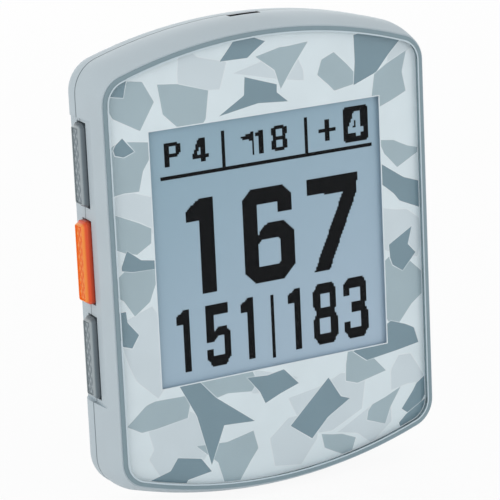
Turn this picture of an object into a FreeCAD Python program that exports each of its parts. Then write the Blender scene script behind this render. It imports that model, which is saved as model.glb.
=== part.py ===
"""Handheld golf rangefinding unit: a two-shell case with a square display and three side buttons.

Frame: millimetres, +Z up, the display faces -Y, +X to the right as the display is read.
The origin is the centre of the magnet pad's outer face, so the whole unit lies at y <= 0.
A "depth" is measured from the front face of the cover lens towards the back.
"""
import FreeCAD, Part
import os

import Sketcher

Vector = FreeCAD.Vector

doc = FreeCAD.newDocument("GolfUnit")

# ---------------------------------------------------------------------------------------------
# Driving dimensions
# ---------------------------------------------------------------------------------------------
SIZES = [
    # case
    ("half_width", 29.6, "half the case width, at the parting line"),
    ("half_height", 38.6, "half the case height on the centre line, at the parting line"),
    ("arch_radius", 84.5, "radius of the arched top and bottom"),
    ("corner_radius", 5.6, "radius of the four corners"),
    ("total_depth", 13.6, "front of the lens to the face of the magnet pad"),
    ("parting_depth", 8.2, "depth of the joint between the two shells"),
    ("wall", 2.2, "side wall of both shells"),
    ("lip_depth", 0.35, "depth of the front edge of the case"),
    ("lip_side_inset", 0.45, "how far the sides draw in from the parting line to the lip"),
    ("lip_end_inset", 1.5, "how far the top and bottom draw in to the lip"),
    ("lip_wall", 0.25, "width of the lip round the lens seal"),
    ("flare_depth", 2.4, "depth where the front rounding meets the side"),
    ("flare_side_inset", 0.2, "draw-in of the sides at that depth"),
    ("flare_end_inset", 0.65, "draw-in of the top and bottom at that depth"),
    ("parting_groove", 0.2, "fine groove along the parting line, cut from the rear cover"),
    ("back_rounding", 3.6, "radius of the rear cover's outer edge"),
    ("back_wall", 1.5, "floor of the rear cover"),
    ("inner_rounding", 1.0, "radius inside the rear cover's floor"),
    ("ledge_depth", 1.4, "depth of the ledge that carries the lens"),
    ("front_plate", 1.2, "thickness of the front frame's plate"),
    ("merge", 0.2, "overlap that joins a rib or boss to its wall"),
    # display stack
    ("display_width", 42.0, "visible width of the display"),
    ("display_height", 41.3, "visible height of the display"),
    ("display_rise", 2.75, "height of the display's centre"),
    ("seal_width", 0.65, "width of the seal round the lens"),
    ("seal_top", 0.1, "depth of the seal's front face"),
    ("lens_thickness", 1.0, "cover lens"),
    ("film_thickness", 0.12, "printed film behind the lens"),
    ("panel_side_margin", 1.5, "display panel past the visible area, each side"),
    ("panel_end_margin", 2.35, "display panel past the visible area, top and bottom"),
    ("panel_depth", 1.75, "depth of the display panel's front"),
    ("panel_thickness", 1.5, "display panel"),
    ("tray_rim", 0.5, "rim of the display tray"),
    ("tray_floor", 1.0, "floor of the display tray"),
    ("tray_clearance", 0.25, "play between the tray and the front frame's opening"),
    ("foot_radius", 1.0, "feet of the display tray"),
    ("ribbon_width", 14.0, "ribbon from the display to the board"),
    ("ribbon_thickness", 0.2, "ribbon"),
    ("ribbon_run", 2.2, "straight run of the ribbon below the display panel"),
    ("connector_drop", 4.5, "ribbon connector below the display panel"),
    ("connector_length", 16.0, "ribbon connector, across the board"),
    ("connector_height", 3.4, "ribbon connector, up the board"),
    ("connector_thickness", 1.2, "ribbon connector"),
    # circuit board
    ("board_depth", 5.6, "depth of the board's front face"),
    ("board_thickness", 1.0, "circuit board"),
    ("board_wall_gap", 0.8, "board to the side wall"),
    ("board_end_gap", 1.0, "corners of the board's neck to the arched walls"),
    ("board_boss_gap", 0.5, "board to the screw bosses"),
    ("post_spread", 14.0, "board posts from the centre line"),
    ("post_end_margin", 8.4, "board posts from the top and bottom of the case"),
    ("post_radius", 1.7, "board posts"),
    ("board_screw_radius", 0.75, "shank of a board screw"),
    ("board_screw_length", 3.2, "shank of a board screw, under the head"),
    ("board_head_radius", 1.5, "head of a board screw"),
    ("board_head_height", 1.0, "head of a board screw"),
    ("hole_play", 0.1, "radial play of a clearance hole"),
    # case screws
    ("boss_radius", 2.6, "screw bosses in the four corners"),
    ("boss_end_margin", 9.3, "bosses from the top and bottom of the case"),
    ("insert_radius", 1.7, "threaded brass insert"),
    ("insert_length", 3.8, "threaded brass insert"),
    ("screw_radius", 0.95, "shank of a case screw"),
    ("screw_head_radius", 1.8, "head of a case screw"),
    ("screw_head_height", 1.2, "head of a case screw"),
    ("screw_clamp", 2.6, "rear cover clamped under a screw head"),
    # side buttons
    ("button_length", 13.3, "button, up the side of the case"),
    ("button_width", 3.4, "button, across the side of the case"),
    ("button_depth", 7.9, "depth of the buttons' centre line"),
    ("button_space", 2.2, "between one button and the next"),
    ("select_height", 2.9, "height of the middle button's centre"),
    ("button_reach", 0.6, "outer buttons' faces past the widest part of the case"),
    ("select_reach", 1.0, "middle button's face past the widest part of the case"),
    ("button_edge", 0.7, "bevel round a button's face"),
    ("button_corner", 0.9, "corner radius of a button"),
    ("button_gap", 0.15, "play round a button in its window"),
    ("flange_margin", 0.65, "flange past the button all round"),
    ("flange_thickness", 0.55, "flange that keeps a button in"),
    ("flange_play", 0.05, "flange to the inside of the wall"),
    ("stem_length", 6.0, "stem behind a button"),
    ("stem_width", 1.8, "stem behind a button"),
    ("recess_margin", 0.85, "flat past the outermost buttons"),
    ("recess_start_depth", 3.8, "depth where the flat begins"),
    ("recess_start_inset", 0.15, "flat below the widest part, where it begins"),
    ("recess_end_inset", 1.15, "flat below the widest part, at the full depth"),
    ("strip_gap", 1.15, "side wall to the keypad strip"),
    ("strip_thickness", 0.6, "keypad strip and its boots"),
    ("strip_play", 0.1, "keypad strip to the rear cover"),
    ("strip_margin", 0.95, "keypad strip past the outermost buttons"),
    ("strip_rib", 0.9, "thickness of the ribs that end the strip"),
    ("boot_inset", 1.25, "ends of the soft boot inside the ends of its button"),
    ("boot_width", 2.8, "soft boot behind a button"),
    ("boot_play", 0.05, "cut round a boot in the strip"),
    ("switch_length", 4.5, "side switch, in from the edge of the board"),
    ("switch_height", 6.0, "side switch, up the edge of the board"),
    ("plunger_reach", 1.0, "plunger out of its switch"),
    ("plunger_bore", 1.6, "depth of the plunger's hole in its switch"),
    ("plunger_height", 3.0, "plunger, up the edge of the board"),
    ("plunger_width", 1.2, "plunger, across the edge of the board"),
    ("plunger_play", 0.05, "plunger in its switch"),
    ("board_strip_gap", 1.25, "board edge to the keypad strip"),
    # magnet mount
    ("pad_radius", 15.0, "round magnet pad"),
    ("pad_thickness", 0.8, "round magnet pad"),
    ("pad_stand_off", 0.3, "pad proud of the rear cover"),
    ("pad_play", 0.2, "play round the pad"),
    ("platform_radius", 16.0, "thickened floor behind the magnets"),
    ("platform_thickness", 1.2, "thickened floor behind the magnets"),
    ("magnet_radius", 4.0, "magnet disc"),
    ("magnet_thickness", 1.5, "magnet disc"),
    ("magnet_spread", 6.4, "magnet discs from the centre, across and up"),
    # charging contacts
    ("contact_end_margin", 11.6, "contact block from the bottom of the case"),
    ("contact_length", 12.0, "contact block"),
    ("contact_width", 3.8, "contact block"),
    ("contact_flange", 1.1, "flange of the contact block"),
    ("contact_sink", 0.2, "contact block below the rear cover"),
    ("contact_pitch", 2.54, "spacing of the contact pins"),
    ("pin_radius", 0.55, "contact pin"),
    # power, sound and reception
    ("battery_width", 34.0, "battery"),
    ("battery_height", 36.0, "battery"),
    ("battery_thickness", 3.2, "battery"),
    ("battery_shift", 2.6, "battery's centre, left of the centre line"),
    ("battery_drop", 4.5, "battery's centre, below the middle"),
    ("cushion_thickness", 0.4, "foam between the board and the battery"),
    ("cushion_side", 28.0, "foam between the board and the battery"),
    ("tape_side", 20.0, "adhesive tape behind the battery"),
    ("tab_thickness", 0.3, "battery tabs"),
    ("tab_width", 1.6, "battery tabs"),
    ("tab_spread", 1.4, "battery tabs from the middle of their connector"),
    ("antenna_side", 16.0, "ceramic antenna"),
    ("antenna_thickness", 3.6, "ceramic antenna"),
    ("antenna_end_gap", 0.2, "antenna below the board's top edge"),
    ("antenna_plate_side", 12.0, "metal plate on the antenna"),
    ("antenna_plate_thickness", 0.15, "metal plate on the antenna"),
    ("shield_corner", 0.4, "corner radius of the radio shield"),
    ("slot_length", 5.6, "sound slot in the top of the case"),
    ("slot_width", 1.2, "sound slot in the top of the case"),
    ("slot_depth", 6.7, "depth of the slot's centre line"),
    ("mesh_margin", 1.0, "sound mesh past the slot"),
    ("mesh_thickness", 0.3, "sound mesh"),
    ("sounder_length", 10.0, "sounder"),
    ("sounder_height", 4.6, "sounder"),
    ("sounder_thickness", 2.4, "sounder"),
    ("sounder_gap", 0.6, "sounder above the display tray"),
    # seals
    ("groove_inset", 0.75, "outer side of the seal groove from the case side"),
    ("groove_width", 0.8, "seal groove between the shells"),
    ("groove_deep", 0.9, "seal groove between the shells"),
]

# components in a column on the right of the board: thickness, width, height, height of centre
COLUMN_PARTS = [
    ("processor", 1.0, 7.0, 7.0, -3.0),
    ("memory_chip", 0.8, 6.0, 4.0, -11.0),
    ("radio_shield", 1.6, 8.0, 11.0, 9.0),
    ("battery_connector", 2.0, 5.0, 6.0, -19.0),
]
for name, *values in COLUMN_PARTS:
    for aspect, value in zip(("thickness", "width", "height", "rise"), values):
        SIZES.append((f"{name}_{aspect}", value, f"{aspect} of the {name.replace('_', ' ')}"))

sheet = doc.addObject("Spreadsheet::Sheet", "Size")
for row, (alias, value, meaning) in enumerate(SIZES, start=1):
    sheet.set(f"A{row}", alias)
    sheet.set(f"B{row}", str(value))
    sheet.set(f"C{row}", meaning)
    sheet.setAlias(f"B{row}", alias)
doc.recompute()


# ---------------------------------------------------------------------------------------------
# Formulas that several pieces share
# ---------------------------------------------------------------------------------------------
FULL = "Size.total_depth"
PLATE_BACK = "(Size.ledge_depth + Size.front_plate)"
COVER_BACK = "(Size.total_depth - Size.pad_stand_off)"
COVER_FLOOR = f"({COVER_BACK} - Size.back_wall)"
PLATFORM_FACE = f"({COVER_FLOOR} - Size.platform_thickness)"
PAD_FRONT = "(Size.total_depth - Size.pad_thickness)"
INNER_SIDE = "(Size.half_width - Size.wall)"
INNER_END = "(Size.half_height - Size.wall)"

PANEL_WIDTH = "(Size.display_width + 2*Size.panel_side_margin)"
PANEL_HEIGHT = "(Size.display_height + 2*Size.panel_end_margin)"
PANEL_BACK = "(Size.panel_depth + Size.panel_thickness)"
TRAY_BACK = f"({PANEL_BACK} + Size.tray_floor)"
OPENING_MARGIN = "2*(Size.tray_rim + Size.tray_clearance)"
OPENING_WIDTH = f"({PANEL_WIDTH} + {OPENING_MARGIN})"
OPENING_HEIGHT = f"({PANEL_HEIGHT} + {OPENING_MARGIN})"
PANEL_FOOT = f"(Size.display_rise - {PANEL_HEIGHT}/2)"
TRAY_TOP = f"(Size.display_rise + {PANEL_HEIGHT}/2 + Size.tray_rim)"

BOARD_BACK = "(Size.board_depth + Size.board_thickness)"
BOSS_SIDE = f"({INNER_SIDE} - Size.boss_radius + Size.merge)"
BOSS_END = "(Size.half_height - Size.boss_end_margin)"
POST_END = "(Size.half_height - Size.post_end_margin)"
NECK_HALF = f"({BOSS_SIDE} - Size.boss_radius - Size.board_boss_gap)"
INNER_ARCH = "(Size.arch_radius - Size.wall)"
ARCH_DROP = f"({INNER_ARCH} - sqrt({INNER_ARCH}*{INNER_ARCH} - {NECK_HALF}*{NECK_HALF}))"
BOARD_TOP = f"({INNER_END} - {ARCH_DROP} - Size.board_end_gap)"
SCREW_SEAT = "(Size.parting_depth + Size.screw_clamp)"

SEAL_SIDE = "(Size.lip_side_inset + Size.lip_wall)"
SEAL_END = "(Size.lip_end_inset + Size.lip_wall)"
LENS_SIDE = f"({SEAL_SIDE} + Size.seal_width)"
LENS_END = f"({SEAL_END} + Size.seal_width)"

STRIP_OUTER = f"({INNER_SIDE} - Size.strip_gap)"
STRIP_INNER = f"({STRIP_OUTER} - Size.strip_thickness)"
STRIP_BACK = f"({COVER_FLOOR} - Size.strip_play)"
SWITCH_FACE = f"({STRIP_INNER} - Size.plunger_reach)"
BOARD_LEFT = f"({STRIP_INNER} - Size.board_strip_gap)"
BOARD_RIGHT = f"({INNER_SIDE} - Size.board_wall_gap)"
BATTERY_FRONT = f"({BOARD_BACK} + Size.cushion_thickness)"
BATTERY_BACK = f"({BATTERY_FRONT} + Size.battery_thickness)"
CONTACT_DROP = "(Size.half_height - Size.contact_end_margin)"
COLUMN_MIDDLE = f"(({BOARD_RIGHT} + Size.battery_width/2 - Size.battery_shift)/2)"

PITCH = "(Size.button_length + Size.button_space)"
ROW_HALF = f"({PITCH} + Size.button_length/2)"
RECESS_HALF = f"({ROW_HALF} + Size.recess_margin)"
STRIP_HALF = f"({ROW_HALF} + Size.strip_margin)"
BOOT_LENGTH = "(Size.button_length - 2*Size.boot_inset)"
BUTTONS = [("upper", f"+ {PITCH}"), ("select", "+ 0"), ("lower", f"- {PITCH}")]
REACHES = {"upper": "button_reach", "select": "select_reach", "lower": "button_reach"}


def number(formula):
    """The present value of a formula over the sheet, as a float."""
    return float(sheet.evalExpression(str(formula)))


# ---------------------------------------------------------------------------------------------
# Sketches
# ---------------------------------------------------------------------------------------------
def new_body(label):
    body = doc.addObject("PartDesign::Body", label)
    body.Label = label
    return body


def new_sketch(body, role, offset, across="0", up="0"):
    """A sketch on one of the body's own planes, moved along its normal and within the plane."""
    plane = next(item for item in body.Origin.OriginFeatures if item.Role == role)
    sketch = body.newObject("Sketcher::SketchObject", f"{body.Label}_sketch")
    sketch.AttachmentSupport = [(plane, "")]
    sketch.MapMode = "FlatFace"
    sketch.setExpression("AttachmentOffset.Base.x", across)
    sketch.setExpression("AttachmentOffset.Base.y", up)
    sketch.setExpression("AttachmentOffset.Base.z", offset)
    return sketch


def facing(body, depth, across="0", up="0"):
    """A sketch parallel to the display, at a depth. Its normal points out of the front."""
    return new_sketch(body, "XZ_Plane", f"{FULL} - ({depth})", across, up)


def sideways(body, x, depth, up):
    """A sketch parallel to the sides, centred on a depth and a height. Its normal is +X."""
    return new_sketch(body, "YZ_Plane", x, f"{depth} - {FULL}", up)


def bind(sketch, kind, *arguments):
    """A dimension whose last argument is a formula over the sheet."""
    *places, formula = arguments
    index = sketch.addConstraint(Sketcher.Constraint(kind, *places, number(formula)))
    sketch.setExpression(f"Constraints[{index}]", str(formula))


def rule(sketch, kind, *places):
    sketch.addConstraint(Sketcher.Constraint(kind, *places))


def segment(sketch, start, end):
    return sketch.addGeometry(Part.LineSegment(Vector(*start, 0), Vector(*end, 0)), False)


def rectangle(sketch, width, height):
    """A rectangle centred on the sketch's origin."""
    x, y = number(width) / 2, number(height) / 2
    corners = [(-x, -y), (x, -y), (x, y), (-x, y)]
    first, right, top, left = [segment(sketch, corners[i], corners[(i + 1) % 4]) for i in range(4)]
    for line, following in ((first, right), (right, top), (top, left), (left, first)):
        rule(sketch, "Coincident", line, 2, following, 1)
    for line in (first, top):
        rule(sketch, "Horizontal", line)
    for line in (right, left):
        rule(sketch, "Vertical", line)
    rule(sketch, "Symmetric", first, 1, top, 1, -1, 1)
    bind(sketch, "DistanceX", first, 1, first, 2, width)
    bind(sketch, "DistanceY", right, 1, right, 2, height)


def polygon(sketch, corners):
    """A closed polygon with a formula for each coordinate of each corner."""
    places = [(number(x), number(y)) for x, y in corners]
    lines = [segment(sketch, places[i - 1], places[i]) for i in range(len(places))]
    for line, following in zip(lines, lines[1:] + lines[:1]):
        rule(sketch, "Coincident", line, 2, following, 1)
    for line, (x, y) in zip(lines, corners):
        bind(sketch, "DistanceX", -1, 1, line, 2, x)
        bind(sketch, "DistanceY", -1, 1, line, 2, y)


def circles(sketch, centres, radius):
    """Equal circles with a formula for each coordinate of each centre."""
    for x, y in centres:
        place = Vector(number(x), number(y), 0)
        ring = sketch.addGeometry(Part.Circle(place, Vector(0, 0, 1), number(radius)), False)
        bind(sketch, "DistanceX", -1, 1, ring, 3, x)
        bind(sketch, "DistanceY", -1, 1, ring, 3, y)
        bind(sketch, "Radius", ring, radius)


def four_corners(x, y):
    return [(f"{a}*{x}", f"{b}*{y}") for a in ("1", "-1") for b in ("1", "-1")]


def case_outline(sketch, side_inset="0", end_inset="0"):
    """The case's outline, drawn in from the parting line: straight sides, arched ends."""
    side = f"Size.half_width - {side_inset}"
    end = f"Size.half_height - {end_inset}"
    arch = f"Size.arch_radius - {end_inset}"
    corner = f"Size.corner_radius - ({side_inset} + {end_inset})/2"
    x, z, big, small = number(side), number(end), number(arch), number(corner)
    # the corner's centre lies on a circle about the arch's centre
    corner_x = x - small
    corner_z = z - big + ((big - small) ** 2 - corner_x ** 2) ** 0.5
    swing = Vector(corner_x, corner_z - (z - big), 0).getAngle(Vector(1, 0, 0))
    half_turn = Vector(1, 0, 0).getAngle(Vector(-1, 0, 0))
    axis = Vector(0, 0, 1)

    def arc(centre_x, centre_z, radius, start, stop):
        circle = Part.Circle(Vector(centre_x, centre_z, 0), axis, radius)
        return sketch.addGeometry(Part.ArcOfCircle(circle, start, stop), False)

    right = segment(sketch, (x, -corner_z), (x, corner_z))
    upper_right = arc(corner_x, corner_z, small, 0, swing)
    top = arc(0, z - big, big, swing, half_turn - swing)
    upper_left = arc(-corner_x, corner_z, small, half_turn - swing, half_turn)
    left = segment(sketch, (-x, corner_z), (-x, -corner_z))
    lower_left = arc(-corner_x, -corner_z, small, half_turn, half_turn + swing)
    bottom = arc(0, big - z, big, half_turn + swing, 2 * half_turn - swing)
    lower_right = arc(corner_x, -corner_z, small, 2 * half_turn - swing, 2 * half_turn)
    loop = [right, upper_right, top, upper_left, left, lower_left, bottom, lower_right]
    for edge, following in zip(loop, loop[1:] + loop[:1]):
        rule(sketch, "Tangent", edge, 2, following, 1)
    rule(sketch, "Vertical", right)
    rule(sketch, "Vertical", left)
    for ring in (upper_left, lower_left, lower_right):
        rule(sketch, "Equal", upper_right, ring)
    rule(sketch, "Equal", top, bottom)
    rule(sketch, "PointOnObject", top, 3, -2)
    rule(sketch, "PointOnObject", bottom, 3, -2)
    bind(sketch, "DistanceX", -1, 1, right, 1, side)
    bind(sketch, "DistanceX", left, 1, -1, 1, side)
    bind(sketch, "Radius", upper_right, corner)
    bind(sketch, "Radius", top, arch)
    bind(sketch, "DistanceY", top, 3, -1, 1, f"{arch} - ({end})")
    bind(sketch, "DistanceY", -1, 1, bottom, 3, f"{arch} - ({end})")


# ---------------------------------------------------------------------------------------------
# Features
# ---------------------------------------------------------------------------------------------
def finish_feature(body, feature, grows):
    """Recompute and stop if a feature changed nothing, or changed it the wrong way."""
    before = body.Shape.Volume if body.Shape.Solids else 0.0
    body.Tip = feature
    doc.recompute()
    after = feature.Shape.Volume
    if (after > before) != grows or abs(after - before) < 1e-6:
        raise RuntimeError(f"{body.Label}: {feature.Name} went from {before:.3f} to {after:.3f}")
    return feature


def pad(body, sketch, length):
    """Material from the sketch along its normal: forwards, or towards +X for a sideways sketch."""
    feature = body.newObject("PartDesign::Pad", f"{body.Label}_pad")
    feature.Profile = sketch
    feature.setExpression("Length", length)
    sketch.Visibility = False
    return finish_feature(body, feature, True)


def pocket(body, sketch, length):
    """A cut from the sketch against its normal: backwards, towards -X or downwards."""
    feature = body.newObject("PartDesign::Pocket", f"{body.Label}_pocket")
    feature.Profile = sketch
    feature.setExpression("Length", length)
    sketch.Visibility = False
    return finish_feature(body, feature, False)


def dress(body, kind, radius, chosen):
    """A PartDesign Fillet or Chamfer on the tip's edges that pass a test."""
    base = body.Tip
    names = [f"Edge{i}" for i, edge in enumerate(base.Shape.Edges, start=1) if chosen(edge)]
    feature = body.newObject(f"PartDesign::{kind}", f"{body.Label}_{kind.lower()}")
    feature.Base = (base, names)
    feature.setExpression("Radius" if kind == "Fillet" else "Size", radius)
    body.Tip = feature
    doc.recompute()
    return feature


def flat_at(axis, formula):
    """Test for edges that lie in one plane across an axis."""
    place = number(formula)

    def test(edge):
        box = edge.BoundBox
        low, high = getattr(box, f"{axis}Min"), getattr(box, f"{axis}Max")
        return abs(low - place) < 1e-4 and abs(high - place) < 1e-4

    return test


def along(axis):
    """Test for straight edges that run along an axis."""
    others = [name for name in "XYZ" if name != axis]

    def test(edge):
        box = edge.BoundBox
        return all(getattr(box, f"{name}Length") < 1e-4 for name in others)

    return test


def plate(label, front, back, width, height, across="0", up="0"):
    """A rectangular piece parallel to the display, between two depths."""
    body = new_body(label)
    sketch = facing(body, back, across, up)
    rectangle(sketch, width, height)
    pad(body, sketch, f"({back}) - ({front})")
    return body


def rods(label, front, back, centres, radius):
    """Round rods across the case, between two depths."""
    body = new_body(label)
    sketch = facing(body, back)
    circles(sketch, centres, radius)
    pad(body, sketch, f"({back}) - ({front})")
    return body


def button_height(offset):
    return f"(Size.select_height {offset})"


# ---------------------------------------------------------------------------------------------
# Cuts that both shells share
# ---------------------------------------------------------------------------------------------
def cut_button_flat(body):
    """The long flat down the left side, a little deeper towards the back."""
    sketch = new_sketch(body, "XY_Plane", f"Size.select_height + {RECESS_HALF}")
    outside = "-(Size.half_width + Size.wall)"
    start = f"Size.recess_start_depth - {FULL}"
    polygon(sketch, [
        ("-(Size.half_width - Size.recess_start_inset)", start),
        ("-(Size.half_width - Size.recess_end_inset)", "0"),
        (outside, "0"),
        (outside, start),
    ])
    pocket(body, sketch, f"2*{RECESS_HALF}")


def cut_button_windows(body):
    """Each shell holds part of the three button windows."""
    for _, offset in BUTTONS:
        sketch = sideways(body, f"-({INNER_SIDE} - Size.merge)", "Size.button_depth",
                          button_height(offset))
        rectangle(sketch, "Size.button_width + 2*Size.button_gap",
                  "Size.button_length + 2*Size.button_gap")
        pocket(body, sketch, "2*Size.wall")


# ---------------------------------------------------------------------------------------------
# Case
# ---------------------------------------------------------------------------------------------
def make_front_frame():
    body = new_body("front_frame")
    sections = []
    for depth, side, end in (
        ("Size.lip_depth", "Size.lip_side_inset", "Size.lip_end_inset"),
        ("Size.flare_depth", "Size.flare_side_inset", "Size.flare_end_inset"),
        ("Size.parting_depth", "0", "0"),
    ):
        sketch = facing(body, depth)
        case_outline(sketch, side, end)
        sections.append(sketch)
    loft = body.newObject("PartDesign::AdditiveLoft", "front_frame_loft")
    loft.Profile = sections[0]
    loft.Sections = sections[1:]
    loft.Ruled = False
    finish_feature(body, loft, True)

    lens_seat = facing(body, "0")
    case_outline(lens_seat, SEAL_SIDE, SEAL_END)
    pocket(body, lens_seat, "Size.ledge_depth")

    opening = facing(body, "0", up="Size.display_rise")
    rectangle(opening, OPENING_WIDTH, OPENING_HEIGHT)
    pocket(body, opening, PLATE_BACK)

    cavity = facing(body, PLATE_BACK)
    case_outline(cavity, "Size.wall", "Size.wall")
    pocket(body, cavity, f"Size.parting_depth - {PLATE_BACK}")

    bosses = facing(body, "Size.parting_depth")
    circles(bosses, four_corners(BOSS_SIDE, BOSS_END), "Size.boss_radius")
    pad(body, bosses, f"Size.parting_depth - {PLATE_BACK} + Size.merge")

    posts = facing(body, "Size.board_depth")
    circles(posts, four_corners("Size.post_spread", POST_END), "Size.post_radius")
    pad(body, posts, f"Size.board_depth - {PLATE_BACK} + Size.merge")

    # ribs at both ends of the keypad strip, joined to the side wall
    rib_width = "(Size.wall/2 + Size.strip_gap + 2*Size.strip_thickness)"
    for end in ("+", "-"):
        centre = f"Size.select_height {end} ({STRIP_HALF} + Size.strip_rib/2)"
        rib = facing(body, "Size.parting_depth",
                     f"-({INNER_SIDE} + Size.wall/2 - {rib_width}/2)", centre)
        rectangle(rib, rib_width, "Size.strip_rib")
        pad(body, rib, f"Size.parting_depth - {PLATE_BACK} + Size.merge")

    inserts = facing(body, "Size.parting_depth - Size.insert_length")
    circles(inserts, four_corners(BOSS_SIDE, BOSS_END), "Size.insert_radius")
    pocket(body, inserts, "Size.insert_length")

    pilots = facing(body, f"{BOARD_BACK} - Size.board_screw_length")
    circles(pilots, four_corners("Size.post_spread", POST_END), "Size.board_screw_radius")
    pocket(body, pilots, "Size.board_screw_length - Size.board_thickness")

    cut_button_flat(body)
    cut_button_windows(body)

    slot = new_sketch(body, "XY_Plane", "Size.half_height + Size.wall", "0",
                      f"Size.slot_depth - {FULL}")
    rectangle(slot, "Size.slot_length", "Size.slot_width")
    pocket(body, slot, "2*Size.wall + Size.merge")
    return body


def make_rear_cover():
    body = new_body("rear_cover")
    outline = facing(body, COVER_BACK)
    case_outline(outline)
    pad(body, outline, f"{COVER_BACK} - Size.parting_depth")
    dress(body, "Fillet", "Size.back_rounding", flat_at("Y", "-Size.pad_stand_off"))
    dress(body, "Chamfer", "Size.parting_groove", flat_at("Y", f"Size.parting_depth - {FULL}"))

    cavity = facing(body, "Size.parting_depth")
    case_outline(cavity, "Size.wall", "Size.wall")
    pocket(body, cavity, f"{COVER_FLOOR} - Size.parting_depth")
    dress(body, "Fillet", "Size.inner_rounding", flat_at("Y", f"{COVER_FLOOR} - {FULL}"))

    platform = facing(body, f"{COVER_FLOOR} + Size.merge")
    circles(platform, [("0", "0")], "Size.platform_radius")
    pad(body, platform, "Size.platform_thickness + Size.merge")

    bosses = facing(body, f"{COVER_FLOOR} + Size.merge")
    circles(bosses, four_corners(BOSS_SIDE, BOSS_END), "Size.boss_radius")
    pad(body, bosses, f"{COVER_FLOOR} + Size.merge - Size.parting_depth")

    pad_seat = facing(body, PAD_FRONT)
    circles(pad_seat, [("0", "0")], "Size.pad_radius + Size.pad_play")
    pocket(body, pad_seat, "Size.pad_thickness")

    magnet_seats = facing(body, f"{PAD_FRONT} - Size.magnet_thickness")
    circles(magnet_seats, four_corners("Size.magnet_spread", "Size.magnet_spread"),
            "Size.magnet_radius")
    pocket(body, magnet_seats, "Size.magnet_thickness")

    heads = facing(body, SCREW_SEAT)
    circles(heads, four_corners(BOSS_SIDE, BOSS_END), "Size.screw_head_radius + Size.hole_play")
    pocket(body, heads, f"{COVER_BACK} - {SCREW_SEAT}")

    shanks = facing(body, "Size.parting_depth")
    circles(shanks, four_corners(BOSS_SIDE, BOSS_END), "Size.screw_radius + Size.hole_play")
    pocket(body, shanks, "Size.screw_clamp")

    contacts = facing(body, COVER_FLOOR, up=f"-{CONTACT_DROP}")
    rectangle(contacts, "Size.contact_length", "Size.contact_width")
    pocket(body, contacts, "Size.back_wall")

    cut_seal_groove(body)
    cut_button_flat(body)
    cut_button_windows(body)
    return body


def seal_loop(sketch):
    """The perimeter seal's two edges. It stops at the keypad strip, which closes the left side."""
    case_outline(sketch, "Size.groove_inset", "Size.groove_inset")
    inner = "(Size.groove_inset + Size.groove_width)"
    case_outline(sketch, inner, inner)


def cut_seal_groove(body):
    groove = facing(body, "Size.parting_depth")
    seal_loop(groove)
    pocket(body, groove, "Size.groove_deep")
    # the groove is filled again along the button flat
    middle = "(Size.half_width - Size.groove_inset - Size.groove_width/2)"
    fill = facing(body, "Size.parting_depth + Size.groove_deep + Size.merge", f"-{middle}",
                  "Size.select_height")
    rectangle(fill, "Size.groove_width + Size.merge",
              f"2*({STRIP_HALF} + Size.strip_rib)")
    pad(body, fill, "Size.groove_deep + Size.merge")


def make_perimeter_seal():
    body = new_body("perimeter_seal")
    ring = facing(body, "Size.parting_depth + Size.groove_deep")
    seal_loop(ring)
    pad(body, ring, "Size.groove_deep")
    gap = facing(body, "Size.parting_depth", "-Size.half_width", "Size.select_height")
    rectangle(gap, "4*Size.wall", f"2*({STRIP_HALF} + Size.strip_rib)")
    pocket(body, gap, "Size.groove_deep")


def make_fasteners():
    corners = four_corners(BOSS_SIDE, BOSS_END)
    screws = rods("case_screws", "Size.parting_depth - Size.insert_length", SCREW_SEAT, corners,
                  "Size.screw_radius")
    heads = facing(screws, f"{SCREW_SEAT} + Size.screw_head_height")
    circles(heads, corners, "Size.screw_head_radius")
    pad(screws, heads, "Size.screw_head_height")

    inserts = rods("threaded_inserts", "Size.parting_depth - Size.insert_length",
                   "Size.parting_depth", corners, "Size.insert_radius")
    bores = facing(inserts, "Size.parting_depth - Size.insert_length")
    circles(bores, corners, "Size.screw_radius")
    pocket(inserts, bores, "Size.insert_length")

    posts = four_corners("Size.post_spread", POST_END)
    board_screws = rods("board_screws", f"{BOARD_BACK} - Size.board_screw_length", BOARD_BACK,
                        posts, "Size.board_screw_radius")
    caps = facing(board_screws, f"{BOARD_BACK} + Size.board_head_height")
    circles(caps, posts, "Size.board_head_radius")
    pad(board_screws, caps, "Size.board_head_height")


# ---------------------------------------------------------------------------------------------
# Display stack, from the lens backwards
# ---------------------------------------------------------------------------------------------
def outline_piece(label, front, back, side_inset, end_inset):
    body = new_body(label)
    sketch = facing(body, back)
    case_outline(sketch, side_inset, end_inset)
    pad(body, sketch, f"({back}) - ({front})")
    return body


def cut_window(body, front, length, width, height):
    window = facing(body, front, up="Size.display_rise")
    rectangle(window, width, height)
    pocket(body, window, length)


def make_display():
    outline_piece("cover_lens", "0", "Size.lens_thickness", LENS_SIDE, LENS_END)

    seal = outline_piece("lens_seal", "Size.seal_top", "Size.ledge_depth", SEAL_SIDE, SEAL_END)
    hole = facing(seal, "Size.seal_top")
    case_outline(hole, LENS_SIDE, LENS_END)
    pocket(seal, hole, "Size.ledge_depth - Size.seal_top")

    film_back = "(Size.lens_thickness + Size.film_thickness)"
    film = outline_piece("printed_film", "Size.lens_thickness", film_back, LENS_SIDE, LENS_END)
    cut_window(film, "Size.lens_thickness", "Size.film_thickness",
               "Size.display_width", "Size.display_height")

    bond = outline_piece("lens_adhesive", film_back, "Size.ledge_depth", LENS_SIDE, LENS_END)
    cut_window(bond, film_back, f"Size.ledge_depth - {film_back}", OPENING_WIDTH, OPENING_HEIGHT)

    gasket = plate("display_gasket", film_back, "Size.panel_depth", PANEL_WIDTH, PANEL_HEIGHT,
                   up="Size.display_rise")
    cut_window(gasket, film_back, f"Size.panel_depth - {film_back}",
               "Size.display_width + Size.panel_side_margin",
               "Size.display_height + Size.panel_side_margin")

    plate("display_panel", "Size.panel_depth", PANEL_BACK, PANEL_WIDTH, PANEL_HEIGHT,
          up="Size.display_rise")
    make_display_tray()
    make_display_ribbon()


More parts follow.
